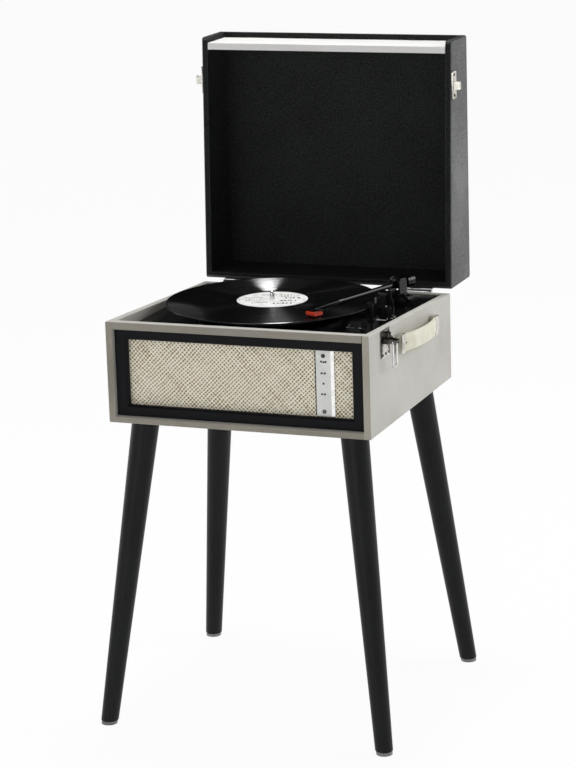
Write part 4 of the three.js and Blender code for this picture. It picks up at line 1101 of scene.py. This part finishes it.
# Drive: the motor hangs under the deck and turns the platter with a flat rubber belt on its
# brass pulley. All three keep their CAD shapes.
give_finish(steel, "motor")
give_finish(plated("pulley_brass", (214, 188, 128), (176, 148, 92), 0.25), "motor_pulley")
give_finish(rubber, "drive_belt")


# Tonearm: a moulded base with the cueing tower, a yoke that swings on it, and a gloss black
# tube with its counterweight between the yoke's cheeks.
def round_bar(name, start, end, radius, vertices, edge):
    """A round bar from one point to another, its ends eased."""
    start, end = Vector(start), Vector(end)
    piece = stock(
        name,
        bpy.ops.mesh.primitive_cylinder_add,
        vertices=vertices,
        radius=radius,
        depth=(end - start).length,
        location=(start + end) / 2,
        rotation=(end - start).to_track_quat("Z", "Y").to_euler(),
    )
    return ease_edges(piece, edge, 2, 50)


arm_black = moulding("arm_black", (5, 5, 6), (10, 10, 12), 0.06, 0.000004, shine=0.16)
satin_black = moulding("satin_black", (9, 10, 11), (18, 19, 21), 0.22, shine=0.3)
arm_base = eased_copy("tonearm_base", "arm_base", 0.0006, 3)
arm_base.data.materials.append(satin_black)
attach(arm_base, "case")
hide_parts("tonearm_base")

pivot_height = 0.591
arm_turn = math.radians(18)
pivot = middle_of("tonearm_gimbal")
pivot.z = pivot_height
at_pivot = Matrix.Translation(pivot) @ Matrix.Rotation(-arm_turn, 4, "Z")
disc_low = -0.0152
disc_high = disc_low + 0.0035
disc_profile = [
    *((0, disc_low), (0.0134, disc_low), (0.014, disc_low + 0.0006)),
    *((0.014, disc_low + 0.0029), (0.0134, disc_high), (0, disc_high)),
]
parts = [turned("yoke_disc", disc_profile, 72)]
for hand in (-1, 1):
    inner, outer = sorted((hand * 0.0075, hand * 0.0105))
    cheek_low = (inner, -0.0085, disc_low + 0.0016)
    cheek = block_between("cheek", cheek_low, (outer, 0.0085, 0.0095))
    work(
        cheek,
        "edges",
        lambda m, d: abs(d.x) > 0.9 and m.z > 0,
        bpy.ops.mesh.bevel,
        offset=0.0062,
        segments=8,
    )
    parts.append(ease_edges(cheek, 0.0004, 2, 50))
    cap_ends = (hand * 0.0102, 0, 0), (hand * 0.0107, 0, 0)
    parts.append(round_bar("pivot_cap", *cap_ends, 0.0024, 24, 0.0002))
yoke = joined("arm_gimbal", *parts)
yoke.data.transform(at_pivot)
yoke.data.materials.append(satin_black)
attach(yoke, "arm_yoke")
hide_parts("tonearm_gimbal")

arm_length = 0.13871
tube = round_bar("tube", (0, -arm_length, 0), (0, 0.016, 0), 0.0038, 40, 0.0003)
pivot_block = block_between("pivot_block", (-0.0069, -0.007, -0.0055), (0.0069, 0.007, 0.0055))
ease_edges(pivot_block, 0.0012, 3)
weight_profile = [
    *((0, 0.015), (0.0086, 0.015), (0.0095, 0.0159), (0.0095, 0.0195), (0.0091, 0.0199)),
    *((0.0091, 0.0206), (0.0095, 0.021), (0.0095, 0.0311), (0.0086, 0.032)),
    *((0.0045, 0.032), (0.004, 0.0312), (0, 0.0312)),
]
weight = turned("weight", weight_profile, 56)
weight.data.transform(Matrix.Rotation(math.radians(-90), 4, "X"))
collar = round_bar("tube_collar", (0, -0.013, 0), (0, -0.0075, 0), 0.0047, 36, 0.0004)
arm = joined("arm_tube", tube, pivot_block, weight, collar)
arm.data.transform(at_pivot)
arm.data.materials.append(arm_black)
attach(arm, "arm")
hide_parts("tonearm_tube")


# Headshell: a tapered black hood on the end of the tube, with a finger lift at its right; the
# red stylus holder clips under it and carries the needle.
head_turn = math.radians(5)
at_tube_end = at_pivot @ Matrix.Translation((0, -arm_length, 0))
at_head = at_tube_end @ Matrix.Rotation(-head_turn, 4, "Z")
hood_front = -0.053
narrowing = 0.735
hood = block_between("hood", (-0.0075, hood_front, -0.0035), (0.0075, 0, 0.0035))
slice_at(hood, (0, -0.0177, 0), (0, 1, 0))
work(
    hood,
    "verts",
    lambda p, n: p.y > -hair,
    bpy.ops.transform.resize,
    value=(narrowing, 1, 1),
    center_override=(0, 0, 0),
)
work(
    hood,
    "verts",
    lambda p, n: p.y < hood_front + hair and p.z > 0,
    bpy.ops.transform.translate,
    value=(0, 0, -0.0024),
)
ease_edges(hood, 0.0011, 3, 25)
socket = round_bar("socket", (0, -0.0085, 0), (0, 0.009, 0), 0.0055, 40, 0.0005)
socket.data.transform(Matrix.Rotation(head_turn, 4, "Z"))
lift = block_between("finger_lift", (0.0061, -0.0445, -0.0035), (0.0211, -0.0403, -0.0021))
for cut in (0.0145, 0.0180, 0.0197):
    slice_at(lift, (cut, 0, 0), (1, 0, 0))
for past, rise in ((0.0179, 0.0009), (0.0196, 0.0013)):
    move = bpy.ops.transform.translate
    work(lift, "verts", lambda p, n: p.x > past, move, value=(0, 0, rise))
ease_edges(lift, 0.0004, 3, 12)
head = joined("head_hood", hood, socket, lift)
head.data.transform(at_head)
head.data.materials.append(arm_black)
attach(head, "arm")
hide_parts("headshell")

holder_top, holder_height, holder_front = -0.0038, 0.0062, -0.055
holder_low = holder_top - holder_height
holder_corners = (-0.0077, holder_front, holder_low), (0.0077, -0.037, holder_top)
holder = block_between("holder", *holder_corners)
work(
    holder,
    "edges",
    lambda m, d: abs(d.x) > 0.9 and m.y < holder_front + hair and m.z < holder_low + hair,
    bpy.ops.mesh.bevel,
    offset=0.0028,
    segments=5,
)
ease_edges(holder, 0.0006, 3, 25)
needle_profile = [(0, -0.0113), (0.00017, -0.0112), (0.0005, -0.0100), (0.0005, -0.0064)]
needle = turned("needle", [*needle_profile, (0, -0.0064)], 16, (0, -0.046, 0))
stylus = joined("stylus_holder", holder, needle)
stylus.data.transform(at_head)
red_clear = moulding("stylus_red", (196, 44, 18), (226, 70, 34), 0.22)
stylus.data.materials.append(red_clear)
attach(stylus, "arm")
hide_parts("stylus")


# Arm rest and cueing: a post with an open cradle for the tube, a curved bar that rises under
# it, and the lever that raises the bar.
for node, name, body in (
    ("arm_rest", "rest_post", "case"),
    ("cue_platform", "cueing_bar", "cue_bar"),
    ("cue_lever", "cueing_lever", "cue_handle"),
):
    piece = eased_copy(node, name, 0.0004, 3)
    piece.data.materials.append(satin_black)
    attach(piece, body)
    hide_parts(node)


# Volume knob: moulded black, fluted round its side, with a dished top and a white pointer line.
# The control that it turns hangs under the deck.
knob_height = 0.014
knob_gap = 0.0004
flute_step = 360 / 96
flute_share, top_share = 0.945, 0.93
knob = stock(
    "fluted_knob",
    bpy.ops.mesh.primitive_cylinder_add,
    vertices=96,
    radius=0.01,
    depth=knob_height,
    location=(0, 0, knob_height / 2 + knob_gap),
)
for test, share in (
    (lambda p, n: round(math.degrees(math.atan2(p.y, p.x)) / flute_step) % 3 == 0, flute_share),
    (lambda p, n: p.z > 0.01, top_share),
):
    resize = bpy.ops.transform.resize
    work(knob, "verts", test, resize, value=(share, share, 1), center_override=(0, 0, 0))
for thickness, depth in ((0.0011, 0), (0.0006, -0.0005)):
    work(
        knob,
        "faces",
        lambda m, n: n.z > 0.9 and math.hypot(m.x, m.y) < 0.001,
        bpy.ops.mesh.inset,
        thickness=thickness,
        depth=depth,
    )
smooth_under(knob, 40)
knob.data.transform(Matrix.Translation(knob_place))
knob.data.materials.append(satin_black)
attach(knob, "knob")
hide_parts("volume_knob")
pointer = block_between("knob_pointer", (-0.0004, 0.0022, 0.0138), (0.0004, 0.0072, 0.0141))
ease_edges(pointer, 0.0001, 2)
pointer.data.transform(Matrix.Translation(knob_place))
pointer.data.materials.append(print_white)
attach(pointer, "knob")
give_finish(steel, "volume_control")


# Slide switches: a cap on each with three grooves across it for the finger, moulded with a stem
# that runs in a short slot in the deck.
cap_low = deck_top + 0.0004
groove_gap, groove_half, groove_deep = 0.0019, 0.00045, 0.0011
for node, body in (("speed_switch", "speed_slider"), ("auto_stop_switch", "auto_stop_slider")):
    low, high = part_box(node)
    middle = (low + high) / 2
    cap = block_between("cap", (low.x, low.y, cap_low), high)
    for step in (-1, 0, 1):
        y = middle.y + step * groove_gap
        groove_low = (low.x - 0.001, y - groove_half, high.z - groove_deep)
        groove_high = (high.x + 0.001, y + groove_half, high.z + 0.001)
        cut_out(cap, block_between("groove", groove_low, groove_high))
    ease_edges(cap, 0.0003, 2)
    stem_low = (middle.x - 0.001, middle.y - 0.001, low.z)
    stem_high = (middle.x + 0.001, middle.y + 0.001, cap_low + 0.001)
    slider = joined(f"{node}_cap", cap, block_between("stem", stem_low, stem_high))
    slider.data.materials.append(satin_black)
    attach(slider, body)
    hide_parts(node)


# Draw latches: a nickel-plated base riveted to each side, a lever between its ears with a torsion
# spring on each side of it, and a wire loop. Keepers on the lid take the loops. The lever and the
# base's upper part round the pivot are dark nickel, as painted shade and dark reflections.
def rivet(radius, height):
    """A domed rivet head with its seat on z = 0."""
    dome = [(radius, height * 0.25), (radius * 0.86, height * 0.7), (radius * 0.55, height * 0.93)]
    return turned("rivet", [(0, 0), (radius, 0), *dome, (0, height)], 20)


def coil_spring(start, end, radius, wire, turns):
    """A close-wound spring of round wire along a line."""
    start, end = Vector(start), Vector(end)
    steps = 16 * turns
    line = bpy.data.curves.new("spring", "CURVE")
    line.dimensions = "3D"
    line.bevel_depth = wire / 2
    line.bevel_resolution = 2
    line.use_fill_caps = True
    path = line.splines.new("POLY")
    path.points.add(steps)
    turn = (end - start).to_track_quat("Z", "Y").to_matrix()
    for step, point in enumerate(path.points):
        angle = 2 * math.pi * step / 16
        offset = turn @ Vector((radius * math.cos(angle), radius * math.sin(angle), 0))
        point.co = (*(start.lerp(end, step / steps) + offset), 1)
    piece = placed("spring", line)
    only(piece)
    bpy.ops.object.convert(target="MESH")
    bpy.ops.object.shade_smooth()
    return piece


latch_pivot_z = 0.56058
latch_y = middle_of("latch_base_right").y
rivet_size = (0.0021, 0.0011)
rivet_aside, rivet_high, rivet_low = 0.0125, 0.5700, 0.5412
keeper_rivet = 0.0148
spring_ends = (0.0092, 0.0158)
for side, hand in (("left", -1), ("right", 1)):
    # Painted shade: the latch lever is dark nickel because its side lies in shadow.
    for node, name, body, width, metals in (
        ("latch_base", "latch_plate", "case", 0.00035, (nickel, dark_nickel_and_shade)),
        ("latch_lever", "latch_handle", f"{side}_latch_lever", 0.0003, (dark_nickel_and_shade,)),
        ("latch_loop", "latch_wire", f"{side}_latch_loop", 0.0002, (chrome,)),
        ("latch_keeper", "keeper_plate", "lid", 0.00035, (nickel,)),
    ):
        piece = eased_copy(f"{node}_{side}", f"{name}_{side}", width, 3, 40)
        # Painted shade: the base's upper part round the pivot takes dark nickel, for shade and
        # dark reflections.
        if node == "latch_base":
            for face in piece.data.polygons:
                if face.center.z > latch_pivot_z - 0.006:
                    face.material_index = 1
        for metal in metals:
            piece.data.materials.append(metal)
        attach(piece, body)
        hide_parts(f"{node}_{side}")
    out = (hand, 0, 0)
    face_x = hand * (side_x + 0.0018)
    rivets = copies(
        rivet(*rivet_size),
        f"latch_rivets_{side}",
        [
            facing(out, (face_x, latch_y + aside, z))
            for aside, z in (
                (-rivet_aside, rivet_high),
                (rivet_aside, rivet_high),
                (-rivet_aside, rivet_low),
                (rivet_aside, rivet_low),
                (0, rivet_low),
            )
        ],
    )
    rivets.data.materials.append(dark_nickel_and_shade)
    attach(rivets, "case")
    spring_x, spring_z = hand * (side_x + 0.0045), latch_pivot_z + 0.0005
    springs = []
    for way in (-1, 1):
        ends = [(spring_x, latch_y + way * end, spring_z) for end in spring_ends]
        springs.append(coil_spring(*ends, 0.0019, 0.0007, 7))
    spring_pair = joined(f"latch_springs_{side}", *springs)
    spring_pair.data.materials.append(screw_black)
    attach(spring_pair, "case")
    keeper = middle_of(f"latch_keeper_{side}")
    keeper_rivets = copies(
        rivet(*rivet_size),
        f"keeper_rivets_{side}",
        [facing(out, (face_x, keeper.y, keeper.z + step * keeper_rivet)) for step in (-1, 1)],
    )
    keeper_rivets.data.materials.append(dark_nickel_and_shade)
    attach(keeper_rivets, "lid")


# Carrying handle: two layers of cream leather, padded, with thread whipped over both edges,
# bowed out from the right side and pinned into two plated caps.
def strap_leather():
    """Cream leather: fine grain, faint creases across the bend, darker in the pores."""
    finish, tree = new_finish("strap_leather")
    grain = mottle(tree, 3000, 2.0) * 0.3 + pebbles(tree, 1100)
    height = mottle(tree, 300, 3.0, stretch=(1, 1, 0.15)) * 0.5 + grain
    tone = height * -0.12 + (mottle(tree, 26, 4.0) + 0.1)
    creams = (0.2, (204, 199, 176)), (0.45, (225, 222, 204)), (0.8, (236, 234, 219))
    return coat(finish, shades(tone, *creams), 0.58, height * -1.0, 0.00012)


strap_middle = middle_of("handle_strap")
handle_place = Vector((side_x, strap_middle.y, strap_middle.z))
case_depth = 0.355
rim_slope = math.atan2(front_rim - rear_rim, case_depth)
handle_turn = Matrix.Translation(handle_place) @ Matrix.Rotation(-rim_slope, 4, "X")
strap_reach = 0.075
end_out = 0.0054
bow = 0.0105
strap_width = 0.024
strap_thick = 0.0046
stations, around = 90, 44


def strap_line(t):
    """A point on the strap's middle line, its direction and the way out of its face, from its
    front end at 0 to its rear end at 1."""
    bow_x = end_out + 4 / 3 * bow
    a, b = Vector((end_out, -strap_reach, 0)), Vector((bow_x, -strap_reach / 2, 0))
    c, d = Vector((bow_x, strap_reach / 2, 0)), Vector((end_out, strap_reach, 0))
    point = (1 - t) ** 3 * a + 3 * (1 - t) ** 2 * t * b + 3 * (1 - t) * t**2 * c + t**3 * d
    way = 3 * (1 - t) ** 2 * (b - a) + 6 * (1 - t) * t * (c - b) + 3 * t**2 * (d - c)
    way.normalize()
    return point, way, Vector((way.y, -way.x, 0))


def strap_section(angle):
    """The strap's cross-section: crowned faces that thin towards a folded edge."""
    across = math.cos(angle)
    depth = math.sin(angle)
    w = strap_width / 2 * math.copysign(abs(across) ** 0.42, across)
    share = abs(w) / (strap_width / 2)
    half = strap_thick / 2 * (1.0 - 0.42 * share**6)
    groove = 0.00035 * math.exp(-(((share - 0.80) / 0.05) ** 2))
    return w, math.copysign(min(abs(depth) ** 0.42 * half, half) - groove * abs(depth), depth)


strap_points, strap_faces = [], []
for i in range(stations + 1):
    point, _, outward = strap_line(i / stations)
    for k in range(around):
        w, t = strap_section(2 * math.pi * (k + 0.5) / around)
        strap_points.append(point + outward * t + Vector((0, 0, w)))
for i in range(stations):
    for k in range(around):
        a, b = i * around + k, i * around + (k + 1) % around
        strap_faces.append((a, b, b + around, a + around))
strap_faces.append(tuple(reversed(range(around))))
strap_faces.append(tuple(range(stations * around, (stations + 1) * around)))
strap_mesh = bpy.data.meshes.new("carrying_strap")
strap_mesh.from_pydata(strap_points, [], strap_faces)
strap = placed("carrying_strap", strap_mesh)
open_up(strap, action="SELECT")
bpy.ops.mesh.normals_make_consistent(inside=False)
close_up()
smooth_under(strap, 60)
strap.data.transform(handle_turn)
strap.data.materials.append(strap_leather())
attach(strap, "case")
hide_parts("handle_strap")

sphere = bpy.ops.mesh.primitive_uv_sphere_add
stitch = stock("stitch", sphere, (3.5, 1.5, 2.4), segments=8, ring_count=6, radius=0.0005)
bpy.ops.object.shade_smooth()
stitch_count = 37
upward = Vector((0, 0, 1))
stitch_places = []
for step in range(stitch_count):
    point, way, outward = strap_line(0.07 + 0.86 * step / (stitch_count - 1))
    for edge in (-1, 1):
        spot = Matrix.Translation(point + upward * edge * (strap_width / 2 - 0.0004))
        axes = Matrix((outward, way, upward)).transposed().to_4x4()
        stitch_places.append(handle_turn @ spot @ axes)
thread, tree = new_finish("waxed_thread")
twist = mottle(tree, 5200, 2.0)
coat(thread, shades(twist, (0.3, (214, 208, 186)), (0.7, (246, 243, 230))), 0.6, twist, 0.0001)
stitching = copies(stitch, "strap_stitching", stitch_places)
stitching.data.materials.append(thread)
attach(stitching, "case")

for end in ("front", "rear"):
    cap = eased_copy(f"handle_cap_{end}", f"strap_cap_{end}", 0.0008, 4, 40)
    cap.data.materials.append(nickel)
    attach(cap, "case")
    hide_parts(f"handle_cap_{end}")
pins = []
for share in (0.088, 0.912):
    point, _, outward = strap_line(share)
    pins.append(handle_turn @ facing(outward, point + outward * 0.0021))
strap_pins = copies(rivet(0.0013, 0.0007), "strap_pins", pins)
strap_pins.data.materials.append(screw_black)
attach(strap_pins, "case")


# Jack panel: a black plate screwed to the back, with two line outputs, an input and the power
# inlet; the sockets have coloured rings.
jacks = eased_copy("jack_panel", "socket_panel", 0.0003)
jacks.data.materials.append(satin_black)
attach(jacks, "case")
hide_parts("jack_panel")
to_rear = (0, 1, 0)
panel_face = rear_y + 0.0027
panel_middle = middle_of("jack_panel")
ring_gap, screw_aside, screw_up = 0.015, 0.0372, 0.0142
ring_profile = [
    *((0.00445, 0), (0.0062, 0), (0.0062, 0.0010), (0.0058, 0.0014), (0.00485, 0.0014)),
    *((0.00445, 0.0010), (0.00445, 0)),
]
for step, name, dark, light in (
    (-1.5, "ring_white", (206, 206, 200), (228, 228, 224)),
    (-0.5, "ring_red", (150, 26, 20), (184, 40, 30)),
    (0.5, "ring_grey", (96, 98, 98), (124, 126, 126)),
):
    ring = turned(name, ring_profile, 40)
    place = (panel_middle.x + step * ring_gap, panel_face, panel_middle.z)
    ring.data.transform(facing(to_rear, place))
    ring.data.materials.append(moulding(name, dark, light, 0.4))
    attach(ring, "case")
screw_places = []
for x in (-1, 1):
    for z in (-1, 1):
        across, upwards = panel_middle.x + x * screw_aside, panel_middle.z + z * screw_up
        screw_places.append(facing(to_rear, (across, panel_face, upwards), x + z))
panel_screws = copies(screw(0.0024, 0.0012), "panel_screws", screw_places)
panel_screws.data.materials.append(steel)
panel_screws.data.materials.append(ink_and_shade_black)
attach(panel_screws, "case")


# Hinges: two plated butt hinges; one leaf of each is screwed to the back of the case, the other
# to the lid, and they turn on a common pin.
for side in ("left", "right"):
    for leaf, body in (("lower", "case"), ("upper", "lid")):
        piece = eased_copy(f"hinge_{leaf}_leaf_{side}", f"hinge_{leaf}_{side}", 0.0002, 2, 40)
        piece.data.materials.append(chrome)
        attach(piece, body)
        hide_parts(f"hinge_{leaf}_leaf_{side}")
leaf_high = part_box("hinge_upper_leaf_left")[1]
leaf_face = rear_y + 0.0019
upper_y, upper_z = leaf_high.y - 0.0090, leaf_high.z - 0.0016
hinge_x, screw_step, lower_z = 0.137, 0.0165, 0.5475
lower_screws, upper_screws = [], []
for hand in (-1, 1):
    for step in (-1, 0, 1):
        x = hand * hinge_x + step * screw_step
        lower_screws.append(facing(to_rear, (x, leaf_face, lower_z), 0.5 + step))
        upper_screws.append(facing((0, 0, -1), (x, upper_y, upper_z), 0.2 + step))
for body, places in (("case", lower_screws), ("lid", upper_screws)):
    screws = copies(screw(0.0028, 0.001), f"hinge_screws_{body}", places)
    screws.data.materials.append(chrome)
    screws.data.materials.append(ink_and_shade_black)
    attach(screws, body)


# Lid: a deeper box in black leatherette, lined with dull black paper, standing open at a right
# angle behind the case.
def lining_paper():
    """Dull black paper, a little cloudy."""
    finish, tree = new_finish("lining_paper")
    fibres = mottle(tree, 420, 5.0)
    tone = fibres * 0.85 + mottle(tree, 12) * 0.15
    colours = shades(tone, (0.38, (8, 11, 9)), (0.62, (37, 41, 39)))
    return coat(finish, colours, 0.85, fibres, 0.00015, **{"Specular IOR Level": 0.3})


blacks = (20, 21, 22), (36, 37, 38), (88, 89, 90)
black_leather = leatherette("black_leatherette", *blacks, 0.42, 0.0008, grain_scale=430)
lid_low, lid_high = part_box("lid_shell")
lid_wall = 0.009
lid_back = 0.007
skin = 0.0002
lid = eased_copy("lid_shell", "lid_covering", 0.0005, 3, 35)
for face in lid.data.polygons:
    middle = face.center
    inside_x = abs(middle.x) < side_x - lid_wall + skin
    inside_z = lid_low.z + lid_wall - skin < middle.z < lid_high.z - lid_wall + skin
    if inside_x and inside_z and middle.y < lid_high.y - lid_back + 2 * skin:
        face.material_index = 1
lid.data.materials.append(black_leather)
lid.data.materials.append(lining_paper())
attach(lid, "lid")
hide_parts("lid_shell")


# Lid front board: a pale laminated board set just inside the lid's front, its edge showing. It
# has faint flecks and rub marks, and its corners are barely eased.
def laminated_board():
    """Pale laminate: a barely visible fleck and faint rub marks."""
    finish, tree = new_finish("pale_board")
    fleck = mottle(tree, 1500, 4.0)
    rubs = mottle(tree, 30, 5.0, stretch=(0.3, 1, 1))
    colours = shades(fleck * 0.4 + rubs * 0.6, (0.25, (226, 225, 222)), (0.6, (243, 242, 240)))
    return coat(finish, colours, between_values(rubs, 0.42, 0.6), fleck, 0.00005)


front_board = eased_copy("lid_front_board", "lid_board", 0.0005, 3)
front_board.data.materials.append(laminated_board())
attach(front_board, "lid")
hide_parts("lid_front_board")
